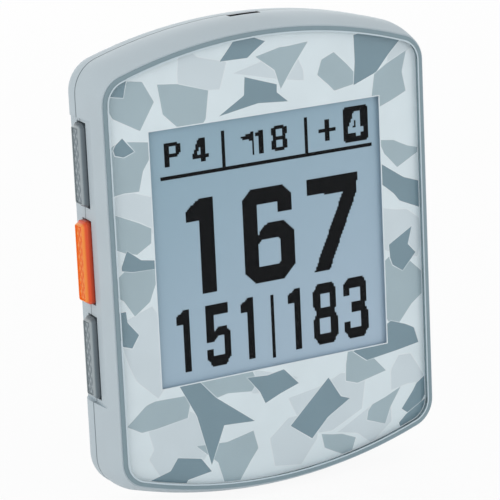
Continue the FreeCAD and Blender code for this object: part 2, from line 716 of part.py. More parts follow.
def make_display_tray():
    """A moulded tray with a rim on three sides, on four feet. The flex leaves its open foot."""
    outer_width = f"({PANEL_WIDTH} + 2*Size.tray_rim)"
    outer_height = f"({PANEL_HEIGHT} + 2*Size.tray_rim)"
    rim_front = f"({PANEL_BACK} - Size.tray_floor)"
    tray = plate("display_tray", rim_front, TRAY_BACK, outer_width, outer_height,
                 up="Size.display_rise")
    seat = facing(tray, rim_front, up="Size.display_rise - Size.tray_rim")
    rectangle(seat, PANEL_WIDTH, f"{PANEL_HEIGHT} + 2*Size.tray_rim")
    pocket(tray, seat, "Size.tray_floor")
    feet = facing(tray, "Size.board_depth", up="Size.display_rise")
    circles(feet, four_corners(f"({PANEL_WIDTH}/2 - 2*Size.foot_radius)",
                               f"({PANEL_HEIGHT}/2 - 2*Size.foot_radius)"), "Size.foot_radius")
    pad(tray, feet, f"Size.board_depth - {TRAY_BACK}")


def make_display_ribbon():
    """A flat ribbon from the panel's foot, down behind the plate and back into its connector."""
    thin = "Size.ribbon_thickness"
    near = f"({PLATE_BACK} + {thin} - {FULL})"
    far = f"(Size.board_depth - Size.connector_thickness/2 - {FULL})"
    bend_top = f"({PANEL_FOOT} - Size.ribbon_run)"
    foot = f"({PANEL_FOOT} - Size.connector_drop)"
    bend_foot = f"({foot} + 4*{thin})"
    ribbon = new_body("display_ribbon")
    profile = new_sketch(ribbon, "YZ_Plane", "-Size.ribbon_width/2")
    polygon(profile, [
        (near, PANEL_FOOT),
        (near, bend_top),
        (far, bend_foot),
        (far, foot),
        (f"{far} + {thin}", foot),
        (f"{far} + {thin}", f"{bend_foot} + {thin}"),
        (f"{near} + {thin}", f"{bend_top} + {thin}"),
        (f"{near} + {thin}", PANEL_FOOT),
    ])
    pad(ribbon, profile, "Size.ribbon_width")
    plate("ribbon_connector", "(Size.board_depth - Size.connector_thickness)", "Size.board_depth",
          "Size.connector_length", "Size.connector_height", up=f"{foot} - Size.connector_height/2")


# ---------------------------------------------------------------------------------------------
# Circuit board and what it carries
# ---------------------------------------------------------------------------------------------
def make_board():
    """A board as wide as the cavity between the bosses, with a narrower neck past them."""
    shoulder = f"({BOSS_END} - Size.boss_radius - Size.board_boss_gap)"
    board = plate("main_board", "Size.board_depth", BOARD_BACK,
                  f"{BOARD_LEFT} + {BOARD_RIGHT}", f"2*{shoulder}",
                  across=f"({BOARD_RIGHT} - {BOARD_LEFT})/2")
    neck = facing(board, BOARD_BACK)
    rectangle(neck, f"2*{NECK_HALF}", f"2*{BOARD_TOP}")
    pad(board, neck, "Size.board_thickness")
    holes = facing(board, "Size.board_depth")
    circles(holes, four_corners("Size.post_spread", POST_END),
            "Size.board_screw_radius + Size.hole_play")
    pocket(board, holes, "Size.board_thickness")


def board_part(label, thickness, width, height, across, up):
    """A component soldered to the back of the board."""
    return plate(label, BOARD_BACK, f"({BOARD_BACK} + {thickness})", width, height, across, up)


def make_components():
    for name, *_ in COLUMN_PARTS:
        board_part(name, f"Size.{name}_thickness", f"Size.{name}_width", f"Size.{name}_height",
                   COLUMN_MIDDLE, f"Size.{name}_rise")
    shield = next(body for body in doc.Objects if body.Label == "radio_shield")
    dress(shield, "Fillet", "Size.shield_corner", along("Y"))

    antenna_rise = f"({BOARD_TOP} - Size.antenna_end_gap - Size.antenna_side/2)"
    board_part("gps_antenna", "Size.antenna_thickness", "Size.antenna_side", "Size.antenna_side",
               "0", antenna_rise)
    antenna_back = f"({BOARD_BACK} + Size.antenna_thickness)"
    plate("antenna_plate", antenna_back, f"({antenna_back} + Size.antenna_plate_thickness)",
          "Size.antenna_plate_side", "Size.antenna_plate_side", up=antenna_rise)

    sounder_rise = f"({TRAY_TOP} + Size.sounder_gap + Size.sounder_height/2)"
    plate("sounder", "(Size.board_depth - Size.sounder_thickness)", "Size.board_depth",
          "Size.sounder_length", "Size.sounder_height", up=sounder_rise)

    mesh = new_body("sounder_mesh")
    sketch = new_sketch(mesh, "XY_Plane", f"{INNER_END} - Size.mesh_thickness - Size.merge", "0",
                        f"Size.slot_depth - {FULL}")
    rectangle(sketch, "Size.slot_length + 2*Size.mesh_margin", "Size.slot_width + Size.mesh_margin")
    pad(mesh, sketch, "Size.mesh_thickness")


def make_power():
    across = "-Size.battery_shift"
    up = "-Size.battery_drop"
    battery = plate("battery", BATTERY_FRONT, BATTERY_BACK, "Size.battery_width",
                    "Size.battery_height", across, up)
    dress(battery, "Fillet", "0.45*Size.battery_thickness", along("Z"))
    plate("battery_cushion", BOARD_BACK, BATTERY_FRONT, "Size.cushion_side", "Size.cushion_side",
          across, up)
    plate("battery_tape", BATTERY_BACK, PLATFORM_FACE, "Size.tape_side", "Size.tape_side")

    # two tabs from the battery's right edge to the connector
    edge = "(Size.battery_width/2 - Size.battery_shift)"
    reach = f"({COLUMN_MIDDLE} - Size.battery_connector_width/2 - {edge})"
    tabs = new_body("battery_tabs")
    for side in ("+", "-"):
        sketch = facing(tabs, f"({BATTERY_FRONT} + Size.battery_thickness/2)",
                        f"{edge} + {reach}/2", f"Size.battery_connector_rise {side} Size.tab_spread")
        rectangle(sketch, reach, "Size.tab_width")
        pad(tabs, sketch, "Size.tab_thickness")


def make_contacts():
    up = f"-{CONTACT_DROP}"
    flange_front = f"({COVER_FLOOR} - Size.contact_flange)"
    block = plate("contact_block", flange_front, f"({COVER_BACK} - Size.contact_sink)",
                  "Size.contact_length", "Size.contact_width", up=up)
    flange = facing(block, COVER_FLOOR, up=up)
    rectangle(flange, "Size.contact_length + 2*Size.contact_flange",
              "Size.contact_width + 2*Size.contact_flange")
    pad(block, flange, "Size.contact_flange")
    centres = [(f"{step}*Size.contact_pitch", up) for step in ("-1.5", "-0.5", "0.5", "1.5")]
    bores = facing(block, flange_front)
    circles(bores, centres, "Size.pin_radius")
    pocket(block, bores, f"{COVER_BACK} - {flange_front}")
    rods("contact_pins", BOARD_BACK, f"({COVER_BACK} - Size.contact_sink/2)", centres,
         "Size.pin_radius")


def make_magnet_mount():
    rods("magnets", f"({PAD_FRONT} - Size.magnet_thickness)", PAD_FRONT,
         four_corners("Size.magnet_spread", "Size.magnet_spread"), "Size.magnet_radius")
    disc = rods("magnet_pad", PAD_FRONT, FULL, [("0", "0")], "Size.pad_radius")
    dress(disc, "Chamfer", "Size.pad_stand_off/2", flat_at("Y", "0"))


# ---------------------------------------------------------------------------------------------
# Side buttons and their switches
# ---------------------------------------------------------------------------------------------
def make_keypad_strip():
    """A soft strip behind the side wall, with a cut-out for each button's boot."""
    height = f"2*{STRIP_HALF}"
    middle = f"({PLATE_BACK} + {STRIP_BACK})/2"
    strip = new_body("keypad_strip")
    sheet_sketch = sideways(strip, f"-{STRIP_OUTER}", middle, "Size.select_height")
    rectangle(sheet_sketch, f"{STRIP_BACK} - {PLATE_BACK}", height)
    pad(strip, sheet_sketch, "Size.strip_thickness")
    for _, offset in BUTTONS:
        hole = sideways(strip, f"-{STRIP_INNER}", "Size.button_depth", button_height(offset))
        rectangle(hole, "Size.boot_width + 2*Size.boot_play", f"{BOOT_LENGTH} + 2*Size.boot_play")
        pocket(strip, hole, "Size.strip_thickness")


def make_button(name, offset, reach):
    """One button with its flange and stem, its boot, and the switch that it presses."""
    up = button_height(offset)
    depth = "Size.button_depth"
    face = f"-(Size.half_width + {reach})"
    flange_face = f"-({INNER_SIDE} - Size.flange_play)"
    flange_back = f"({flange_face} + Size.flange_thickness)"

    button = new_body(f"{name}_button")
    cap = sideways(button, face, depth, up)
    rectangle(cap, "Size.button_width", "Size.button_length")
    pad(button, cap, f"{flange_back} - {face}")
    dress(button, "Fillet", "Size.button_corner", along("X"))
    dress(button, "Chamfer", "Size.button_edge", flat_at("X", face))
    flange = sideways(button, flange_face, depth, up)
    rectangle(flange, "Size.button_width + 2*Size.flange_margin",
              "Size.button_length + 2*Size.flange_margin")
    pad(button, flange, "Size.flange_thickness")
    stem = sideways(button, flange_back, depth, up)
    rectangle(stem, "Size.stem_width", "Size.stem_length")
    pad(button, stem, f"-{STRIP_OUTER} - {flange_back}")

    boot = new_body(f"{name}_boot")
    boot_face = sideways(boot, f"-{STRIP_OUTER}", depth, up)
    rectangle(boot_face, "Size.boot_width", BOOT_LENGTH)
    pad(boot, boot_face, "Size.strip_thickness")

    switch_back = f"{SWITCH_FACE} - Size.switch_length"
    switch = new_body(f"{name}_switch")
    case = sideways(switch, f"-{SWITCH_FACE}", depth, up)
    rectangle(case, f"2*({depth} - {BOARD_BACK})", "Size.switch_height")
    pad(switch, case, f"{SWITCH_FACE} - ({switch_back})")
    hole = sideways(switch, f"-({SWITCH_FACE} - Size.plunger_bore)", depth, up)
    rectangle(hole, "Size.plunger_width + 2*Size.plunger_play",
              "Size.plunger_height + 2*Size.plunger_play")
    pocket(switch, hole, "Size.plunger_bore")

    plunger = new_body(f"{name}_plunger")
    inner_end = f"({SWITCH_FACE} - Size.plunger_bore/2)"
    rod = sideways(plunger, f"-{STRIP_INNER}", depth, up)
    rectangle(rod, "Size.plunger_width", "Size.plunger_height")
    pad(plunger, rod, f"{STRIP_INNER} - {inner_end}")


# ---------------------------------------------------------------------------------------------
# Build, check and write
# ---------------------------------------------------------------------------------------------
make_front_frame()
make_rear_cover()
make_perimeter_seal()
make_fasteners()
make_display()
make_board()
make_components()
make_power()
make_contacts()
make_magnet_mount()
make_keypad_strip()
for button_name, button_offset in BUTTONS:
    make_button(button_name, button_offset, "Size." + REACHES[button_name])
doc.recompute()

for item in doc.Objects:
    if "Invalid" in item.State or "Error" in item.State:
        raise RuntimeError(f"{item.Name} failed: {item.State}")

pieces = [item for item in doc.Objects if item.TypeId == "PartDesign::Body"]
for piece in pieces:
    shape = piece.Shape
    if shape.isNull() or not shape.isValid() or not shape.Solids:
        raise RuntimeError(f"{piece.Label} has no sound solid")

os.makedirs("parts", exist_ok=True)
for piece in pieces:
    piece.Shape.exportStep(f"parts/{piece.Label}.step")
    print(f"{piece.Label}: {len(piece.Shape.Solids)} solid(s), {piece.Shape.Volume:.1f} mm3")
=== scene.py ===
import math
import random

import bmesh
import bpy
from mathutils import Matrix, Vector


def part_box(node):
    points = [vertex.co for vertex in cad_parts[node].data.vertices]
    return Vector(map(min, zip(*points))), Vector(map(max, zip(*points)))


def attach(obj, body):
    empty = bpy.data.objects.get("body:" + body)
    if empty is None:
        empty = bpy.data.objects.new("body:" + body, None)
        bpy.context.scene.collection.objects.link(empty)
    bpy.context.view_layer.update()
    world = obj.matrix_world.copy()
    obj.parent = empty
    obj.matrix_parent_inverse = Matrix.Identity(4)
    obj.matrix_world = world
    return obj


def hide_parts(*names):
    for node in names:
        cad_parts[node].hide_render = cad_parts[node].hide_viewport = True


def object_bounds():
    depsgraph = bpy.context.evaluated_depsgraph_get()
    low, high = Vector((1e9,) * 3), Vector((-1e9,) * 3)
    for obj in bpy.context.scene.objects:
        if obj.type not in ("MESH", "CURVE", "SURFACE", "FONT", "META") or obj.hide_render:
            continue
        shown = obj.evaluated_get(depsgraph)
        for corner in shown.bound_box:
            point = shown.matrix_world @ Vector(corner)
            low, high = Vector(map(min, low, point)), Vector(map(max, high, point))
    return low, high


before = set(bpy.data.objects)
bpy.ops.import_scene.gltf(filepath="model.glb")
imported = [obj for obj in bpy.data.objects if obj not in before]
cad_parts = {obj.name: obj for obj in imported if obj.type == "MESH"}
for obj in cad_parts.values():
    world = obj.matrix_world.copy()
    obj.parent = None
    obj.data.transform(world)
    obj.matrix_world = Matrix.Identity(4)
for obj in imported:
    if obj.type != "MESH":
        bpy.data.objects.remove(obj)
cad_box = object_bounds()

scene = bpy.context.scene
MM = 0.001


# ---------------------------------------------------------------------------------------------
# Case shells
# The front frame and the rear cover are moulded in pale blue-grey polycarbonate with a satin
# finish from the mould. They close on each other along a line through the middle of the buttons.
# ---------------------------------------------------------------------------------------------
def srgb(red, green, blue):
    """A colour given as it looks on a screen, from 0 to 255, as the shader wants it."""
    shares = [value / 255 for value in (red, green, blue)]
    return tuple(s / 12.92 if s <= 0.04045 else ((s + 0.055) / 1.055) ** 2.4 for s in shares) + (1.0,)


SOCKETS = {"metallic": "Metallic", "alpha": "Alpha", "coat": "Coat Weight",
           "coat_roughness": "Coat Roughness", "shine": "Specular IOR Level"}


def new_material(name, colour, roughness, **values):
    """An empty material: its node tree and its shader, with the plain values set."""
    material = bpy.data.materials.new(name)
    material.use_nodes = True
    tree = material.node_tree
    shader = tree.nodes["Principled BSDF"]
    shader.inputs["Base Color"].default_value = colour
    shader.inputs["Roughness"].default_value = roughness
    for word, value in values.items():
        shader.inputs[SOCKETS[word]].default_value = value
    return material, tree, shader


def node(tree, kind, inputs=None, **settings):
    """A node with its settings, and each input given a value or linked to another output."""
    made = tree.nodes.new("ShaderNode" + kind)
    for setting, value in settings.items():
        setattr(made, setting, value)
    for key, value in (inputs or {}).items():
        if isinstance(value, bpy.types.NodeSocket):
            tree.links.new(value, made.inputs[key])
        else:
            made.inputs[key].default_value = value
    return made


def millimetres(tree, stretch=(1, 1, 1)):
    """Object coordinates in millimetres, stretched along each axis."""
    place = node(tree, "TexCoord").outputs["Object"]
    scale = tuple(share / MM for share in stretch)
    return node(tree, "Mapping", {"Vector": place, "Scale": scale}).outputs[0]


def noise(tree, place, size, detail=2.0):
    """Cloudy noise whose lumps are about size millimetres across."""
    return node(tree, "TexNoise", {"Vector": place, "Scale": 1 / size, "Detail": detail}).outputs[0]


def spread(tree, value, low, high, start=0.3, stop=0.7):
    """A value from start to stop, turned into one from low to high."""
    inputs = {"Value": value, "From Min": start, "From Max": stop, "To Min": low, "To Max": high}
    return node(tree, "MapRange", inputs).outputs[0]


def combined(tree, operation, first, second=0.0):
    """The result of one sum on one or two values."""
    return node(tree, "Math", {0: first, 1: second}, operation=operation).outputs[0]


def blended(tree, share, first, second):
    """A colour that goes from the first to the second as the share goes from nought to one."""
    return node(tree, "Mix", {0: share, 6: first, 7: second}, data_type="RGBA").outputs[2]


def shaded(tree, colour, shade):
    """A colour made lighter or darker by a shade about 1."""
    return node(tree, "VectorMath", {0: colour[:3], "Scale": shade}, operation="SCALE").outputs[0]


def bumps(tree, shader, height, depth):
    """Relief of a depth in millimetres from a height of 0 to 1."""
    relief = node(tree, "Bump", {"Height": height, "Distance": depth * MM})
    tree.links.new(relief.outputs[0], shader.inputs["Normal"])


def moulded(name, colour, roughness, grain=0.25, relief=0.002, drift=0.03, **values):
    """Moulded plastic or rubber: fine relief from the mould, slow drift in shade and gloss."""
    material, tree, shader = new_material(name, colour, roughness, **values)
    place = millimetres(tree)
    slow = noise(tree, place, 14.0)
    fine = noise(tree, place, grain, 3.0)
    shade = spread(tree, slow, 1 - drift, 1 + drift)
    tree.links.new(shaded(tree, colour, shade), shader.inputs["Base Color"])
    gloss = spread(tree, fine, roughness - 0.06, roughness + 0.06)
    tree.links.new(gloss, shader.inputs["Roughness"])
    bumps(tree, shader, fine, relief)
    return material


def dress(material, *names):
    """Gives CAD nodes a finish."""
    for name in names:
        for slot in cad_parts[name].material_slots:
            slot.material = material


# The darker colour along the shells' joint is painted shade for the groove between them.
JOINT_PAINTED_SHADE = srgb(92, 107, 116)
JOINT_HALF_WIDTH = 0.1
JOINT_SHADE_REACH = 0.2
# The sounder slot's walls are painted near-black as the shade inside the slot.
SLOT_PAINTED_SHADE = srgb(9, 10, 12)
SLOT_MIDDLE = Vector((0, -6.7, 38.0))
SLOT_REACH = Vector((2.83, 0.63, 3.0))


def shell_satin(colour, joint):
    """The shells' satin plastic: painted shade darkens the groove where they meet, and the slot's walls
    are painted near-black as shade.
    """
    material = moulded("case_satin", colour, 0.5, grain=0.18, relief=0.0012, shine=0.3)
    tree = material.node_tree
    shader = tree.nodes["Principled BSDF"]
    clean = shader.inputs["Base Color"].links[0].from_socket
    place = millimetres(tree)
    depth = node(tree, "SeparateXYZ", {0: place}).outputs["Y"]
    away = combined(tree, "ABSOLUTE", combined(tree, "ADD", depth, -joint))
    # painted shade: darkest within a tenth of a millimetre of the joint, gone by a fifth
    joint_shade = spread(tree, away, 0.75, 0.0, JOINT_SHADE_REACH / 2, JOINT_SHADE_REACH)
    from_slot = node(tree, "VectorMath", {0: place, 1: SLOT_MIDDLE}, operation="SUBTRACT").outputs[0]
    steps = node(tree, "VectorMath", {0: from_slot}, operation="ABSOLUTE").outputs[0]
    parts = node(tree, "VectorMath", {0: steps, 1: SLOT_REACH}, operation="DIVIDE").outputs[0]
    sides = node(tree, "SeparateXYZ", {0: parts}).outputs
    widest = combined(tree, "MAXIMUM", combined(tree, "MAXIMUM", sides[0], sides[1]), sides[2])
    # painted shade: inside the slot's box the walls take the near-black colour
    slot_shade = combined(tree, "LESS_THAN", widest, 1.0)
    tint = blended(tree, slot_shade, blended(tree, joint_shade, clean, JOINT_PAINTED_SHADE), SLOT_PAINTED_SHADE)
    tree.links.new(tint, shader.inputs["Base Color"])
    return material


JOINT_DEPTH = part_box("front_frame")[1].y / MM + JOINT_HALF_WIDTH
dress(shell_satin(srgb(190, 203, 210), JOINT_DEPTH), "front_frame", "rear_cover")


# ---------------------------------------------------------------------------------------------
# Lens seal
# A soft grey-blue band of overmoulded elastomer that fills the groove between the front frame
# and the cover lens, a tenth of a millimetre below the lens.
# ---------------------------------------------------------------------------------------------
dress(moulded("lens_band", srgb(130, 151, 160), 0.55, grain=0.3, relief=0.002), "lens_seal")


# ---------------------------------------------------------------------------------------------
# Cover lens
# A clear hard-coated lens, flush with the frame. Its front edge has a narrow bevel, coloured
# pale as a painted highlight, which shows as a thin light line beside the seal.
# ---------------------------------------------------------------------------------------------
BEVEL_WIDTH = 0.24 * MM
BEVEL_DROP = 0.07 * MM
GLUE_LINE = 0.03 * MM
JOIN = 0.001 * MM
FORWARD = -0.99


def copy_of(name):
    """A CAD node's skin, its loose triangles joined and its flat sides made whole."""
    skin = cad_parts[name].data
    bare = bpy.data.meshes.new(name)
    corners = [corner.co[:] for corner in skin.vertices]
    bare.from_pydata(corners, [], [side.vertices[:] for side in skin.polygons])
    mesh = bmesh.new()
    mesh.from_mesh(bare)
    bpy.data.meshes.remove(bare)
    bmesh.ops.remove_doubles(mesh, verts=mesh.verts, dist=JOIN)
    merge_flats(mesh)
    return mesh


def only(kind, parts):
    """The corners, the edges or the faces among an operator's results."""
    return [part for part in parts if isinstance(part, kind)]


def merge_flats(mesh):
    """Joins the faces of one finish that lie in one plane."""
    bmesh.ops.dissolve_limit(mesh, angle_limit=math.radians(0.1), verts=mesh.verts, edges=mesh.edges,
                             use_dissolve_boundaries=False, delimit={"MATERIAL"})


def front_faces(mesh):
    """The faces that look at the user."""
    mesh.normal_update()
    return [face for face in mesh.faces if face.normal.y < FORWARD]


def soften(mesh, limit=35):
    """Smooth shading, with the edges sharper than the limit, in degrees, kept crisp."""
    for face in mesh.faces:
        face.smooth = True
    for edge in mesh.edges:
        edge.smooth = edge.calc_face_angle(math.pi) < math.radians(limit)


def add_piece(name, mesh, materials, body, slot, *replaced):
    """Makes a mesh a piece of the object: its finishes, its body and the CAD nodes it stands for."""
    data = bpy.data.meshes.new(name)
    mesh.to_mesh(data)
    mesh.free()
    for material in materials:
        data.materials.append(material)
    piece = bpy.data.objects.new(name, data)
    scene.collection.objects.link(piece)
    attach(piece, body)
    if replaced:
        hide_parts(*replaced)
    return piece


def clear_lens():
    """Hard-coated clear plastic, which shows mostly as gloss."""
    return new_material("lens_clear", srgb(24, 28, 30), 0.1, alpha=0.04)[0]


def bevel_painted_highlight():
    """The bevel: a painted highlight in a pale colour, with noisy roughness and fine relief."""
    material, tree, shader = new_material("lens_frosted_edge", srgb(196, 212, 220), 0.5)
    wheel = noise(tree, millimetres(tree), 0.08, 3.0)
    tree.links.new(spread(tree, wheel, 0.4, 0.6), shader.inputs["Roughness"])
    bumps(tree, shader, wheel, 0.002)
    return material


lens = copy_of("cover_lens")
face = front_faces(lens)
rim = {corner for side in face for corner in side.verts}
ring = bmesh.ops.inset_region(lens, faces=face, thickness=BEVEL_WIDTH, use_even_offset=True)["faces"]
# the bevel ring takes the pale painted highlight
for bevel in ring:
    bevel.material_index = 1
for corner in rim:
    if not all(side.normal.y < FORWARD for side in corner.link_faces):
        corner.co.y += BEVEL_DROP
lens_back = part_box("cover_lens")[1].y
for corner in lens.verts:
    if corner.co.y > lens_back - JOIN:
        corner.co.y -= GLUE_LINE
soften(lens, 10)
add_piece("lens_glass", lens, [clear_lens(), bevel_painted_highlight()], "housing", "lens_clear", "cover_lens")


# ---------------------------------------------------------------------------------------------
# Printed film
# A film behind the lens, printed with a splinter pattern of straight-sided patches in four
# tones. Each patch has a thin pale printed outline; the film's rim and window have a thin pale painted
# highlight.
# ---------------------------------------------------------------------------------------------
# The last tone is the patches' printed outline and also the painted highlight along the film's rim and
# window.
TONES = [srgb(235, 249, 255), srgb(220, 234, 241), srgb(174, 196, 205), srgb(128, 156, 169),
         srgb(240, 250, 255)]
LIGHT, PALE, MIDDLE, DARK, OUTLINE_AND_HIGHLIGHT = range(len(TONES))
OUTLINE_WIDTH = 0.16 * MM
RIM_HIGHLIGHT_WIDTH = 0.16 * MM
# each patch: across and up from the middle of the case and reach, in millimetres, then how many
# times longer than wide, turn in degrees, and tone
PATCHES = [
    (-13.0, 31.0, 6.0, 1.4, 12, PALE), (4.0, 30.5, 7.0, 1.5, -10, PALE),
    (26.0, 31.5, 4.5, 1.2, 60, PALE), (-25.5, 11.0, 5.5, 1.1, 80, PALE),
    (-24.0, -13.0, 6.5, 1.2, 75, PALE), (24.5, 2.0, 5.0, 1.1, 100, PALE),
    (-20.0, -27.5, 6.5, 1.7, 8, PALE), (-3.0, -20.0, 5.0, 1.6, -8, PALE),
    (10.0, -24.5, 6.5, 1.5, 20, PALE), (24.0, -23.0, 6.0, 1.2, 70, PALE),
    (4.5, -31.5, 5.0, 1.4, 5, PALE), (16.5, -30.5, 5.5, 1.5, 25, PALE),
    (-24.5, 29.0, 5.5, 1.4, 35, MIDDLE), (-16.0, 28.0, 6.0, 1.3, -30, MIDDLE),
    (3.5, 32.0, 3.6, 1.0, 60, MIDDLE), (12.5, 28.5, 4.6, 1.1, 80, MIDDLE),
    (23.5, 26.0, 5.5, 1.2, 115, MIDDLE), (-24.5, 17.5, 5.0, 1.1, 100, MIDDLE),
    (-24.5, 7.0, 5.5, 1.2, 70, MIDDLE), (-24.0, -1.5, 4.5, 1.3, 10, MIDDLE),
    (24.5, 14.0, 4.4, 1.7, -12, MIDDLE), (25.0, -9.0, 5.5, 1.2, 50, MIDDLE),
    (-23.0, -22.0, 7.0, 1.5, 22, MIDDLE), (-9.0, -19.5, 5.0, 1.9, 2, MIDDLE),
    (-8.0, -31.0, 8.0, 1.5, 4, MIDDLE), (15.5, -20.5, 5.5, 1.2, 15, MIDDLE),
    (19.0, -28.5, 4.8, 2.0, 24, MIDDLE), (10.5, -33.0, 3.6, 1.6, -8, MIDDLE),
    (-26.0, 31.5, 4.0, 1.8, 22, DARK), (-3.0, 34.5, 5.0, 1.9, 10, DARK),
    (-1.0, 26.5, 6.5, 2.6, 3, DARK), (20.5, 30.0, 6.0, 1.6, 24, DARK),
    (-26.0, 21.5, 2.8, 1.3, 35, DARK), (-25.0, 2.8, 4.2, 2.2, 6, DARK),
    (24.5, 8.0, 4.6, 1.4, -35, DARK), (24.0, -3.0, 4.2, 1.9, 30, DARK),
    (-12.5, -23.5, 7.0, 1.4, -58, DARK), (-1.5, -21.0, 5.0, 1.9, -6, DARK),
    (8.5, -27.0, 5.5, 1.8, 36, DARK), (-18.5, -32.5, 5.2, 2.0, -4, DARK),
    (22.5, -17.5, 6.0, 2.0, 14, DARK), (27.0, -27.0, 3.6, 1.6, 62, DARK),
    (-27.0, -7.0, 2.6, 1.4, 90, DARK), (25.0, -32.0, 3.6, 1.8, 22, DARK),
]
CORNERS = 7
CORNER_REACHES = (0.48, 0.68, 1.08, 1.4)
CORNER_DRIFT = 0.3
PATTERN_SEED = 7


def outside(side, planes):
    """Whether a face lies wholly beyond one of the planes."""
    return any(all(outward.dot(corner.co - start) > -JOIN for corner in side.verts)
               for start, outward in planes)


def cut_out(mesh, skin, corners, tone):
    """Gives a triangle of the film's face its tone, cutting the faces of the skin along its sides."""
    middle = sum(corners, Vector()) / len(corners)
    planes = []
    for start, stop in zip(corners, corners[1:] + corners[:1]):
        outward = (stop - start).cross(Vector((0, 1, 0))).normalized()
        planes.append((start, outward if outward.dot(start - middle) > 0 else -outward))
    inside = [side for side in skin if not outside(side, planes)]
    for start, outward in planes:
        skin.difference_update(inside)
        parts = set(inside)
        for side in inside:
            parts.update(side.edges)
            parts.update(side.verts)
        cut = bmesh.ops.bisect_plane(mesh, geom=list(parts), dist=JOIN, plane_co=start,
                                     plane_no=outward)
        sides = set(only(bmesh.types.BMFace, cut["geom"]))
        inside = [side for side in sides if outward.dot(side.calc_center_median() - start) < 0]
        skin.update(sides)
    for side in inside:
        side.material_index = tone


def printed_ink(name, colour):
    """Screen-printed ink: a faint dot screen under the gloss of the lens."""
    material, tree, shader = new_material(name, colour, 0.45, coat=0.25, coat_roughness=0.08)
    place = millimetres(tree)
    mottle = noise(tree, place, 5.0, 3.0)
    dots = node(tree, "TexVoronoi", {"Vector": place, "Scale": 6.0}).outputs["Distance"]
    shade = combined(tree, "MULTIPLY", spread(tree, mottle, 0.975, 1.02),
                     spread(tree, dots, 1.012, 0.99))
    tree.links.new(shaded(tree, colour, shade), shader.inputs["Base Color"])
    bumps(tree, shader, dots, 0.0008)
    return material


film = copy_of("printed_film")
rim_highlight = bmesh.ops.inset_region(film, faces=front_faces(film), thickness=RIM_HIGHLIGHT_WIDTH,
                                use_even_offset=True)
rim = set(rim_highlight["faces"])
field = bmesh.ops.triangulate(film, faces=[side for side in front_faces(film) if side not in rim])
skin = set(field["faces"])
film_face = min(corner.co.y for corner in film.verts)
chance = random.Random(PATTERN_SEED)
for across, up, reach, stretch, turn, tone in PATCHES:
    middle = Vector((across * MM, film_face, up * MM))
    lie = Matrix.Rotation(math.radians(-turn), 3, "Y")
    radii = [reach * chance.choice(CORNER_REACHES) for index in range(CORNERS)]
    angles = [math.tau * (index + chance.uniform(-CORNER_DRIFT, CORNER_DRIFT)) / CORNERS
              for index in range(CORNERS)]
    for margin, ink in ((OUTLINE_WIDTH, OUTLINE_AND_HIGHLIGHT), (0, tone)):
        points = []
        for radius, angle in zip(radii, angles):
            length = radius * MM + margin
            flat = Vector((length * math.cos(angle), 0, length * math.sin(angle) / stretch))
            points.append(middle + lie @ flat)
        for point, following in zip(points, points[1:] + points[:1]):
            cut_out(film, skin, [middle, point, following], ink)
# painted highlight: the ring along the film's rim and its window takes the pale tone
for side in rim:
    side.material_index = OUTLINE_AND_HIGHLIGHT
merge_flats(film)
inks = [printed_ink(f"ink_{place}", colour) for place, colour in enumerate(TONES)]
add_piece("splinter_film", film, inks, "housing", "film_print", "printed_film")


# ---------------------------------------------------------------------------------------------
# Display
# A reflective display of square dots. The panel is glass with a blue-grey polariser, and each
# figure is a group of dark dots on its front. The page shows par, hole, shots and three distances.
# ---------------------------------------------------------------------------------------------
COLUMNS = 144
ROWS = 142
DOT_HEIGHT = 0.02 * MM
# each figure's outline, then its holes, across and down from its upper left corner, in a box
# that is 32 wide and 53 high
FIGURES = {
    "1": [[(0, 6), (4, 3), (9, 0), (17, 0), (17, 53), (8, 53), (8, 12), (0, 12)]],
    "3": [[(0, 6), (6, 0), (25, 0), (31, 6), (31, 20), (27, 25), (32, 31), (32, 46), (25, 53), (7, 53),
           (0, 46), (0, 38), (9, 38), (9, 44), (23, 44), (23, 30), (11, 30), (11, 21), (22, 21), (22, 9),
           (9, 9), (9, 15), (0, 15)]],
    "4": [[(13, 0), (26, 0), (26, 35), (32, 35), (32, 45), (26, 45), (26, 53), (16, 53), (16, 45),
           (0, 45), (0, 36)], [(16, 16), (16, 35), (9, 35)]],
    "5": [[(1, 0), (30, 0), (30, 9), (10, 9), (10, 24), (13, 21), (17, 19), (25, 19), (32, 25), (32, 46),
           (25, 53), (7, 53), (0, 46), (0, 38), (9, 38), (9, 44), (23, 44), (23, 28), (15, 28), (10, 32),
           (1, 32)]],
    "6": [[(0, 6), (6, 0), (25, 0), (31, 5), (31, 15), (22, 15), (22, 9), (9, 9), (9, 27), (11, 23),
           (16, 20), (26, 20), (32, 26), (32, 46), (25, 53), (7, 53), (0, 46)],
          [(9, 32), (12, 29), (22, 29), (23, 30), (23, 43), (22, 44), (10, 44), (9, 43)]],
    "7": [[(0, 0), (33, 0), (32, 11), (13, 53), (3, 53), (23, 10), (0, 9)]],
    "8": [[(7, 0), (25, 0), (31, 6), (31, 20), (27, 25), (32, 31), (32, 46), (25, 53), (7, 53), (0, 46),
           (0, 31), (5, 25), (1, 20), (1, 6)], [(10, 9), (22, 9), (22, 21), (10, 21)],
          [(9, 30), (23, 30), (23, 44), (9, 44)]],
    "P": [[(0, 0), (25, 0), (32, 7), (32, 24), (25, 32), (10, 32), (10, 53), (0, 53)],
          [(10, 9), (22, 9), (22, 23), (10, 23)]],
    "flag": [[(0, 12), (28, 0), (32, 0), (32, 53), (28, 53), (28, 20)]],
    "plus": [[(11, 0), (21, 0), (21, 21), (32, 21), (32, 32), (21, 32), (21, 53), (11, 53), (11, 32),
              (0, 32), (0, 21), (11, 21)]],
    "bar": [[(0, 0), (32, 0), (32, 53), (0, 53)]],
    "box": [[(0, 4), (4, 0), (28, 0), (32, 4), (32, 49), (28, 53), (4, 53), (0, 49)]],
}
FIGURE_BOX = (32, 53)
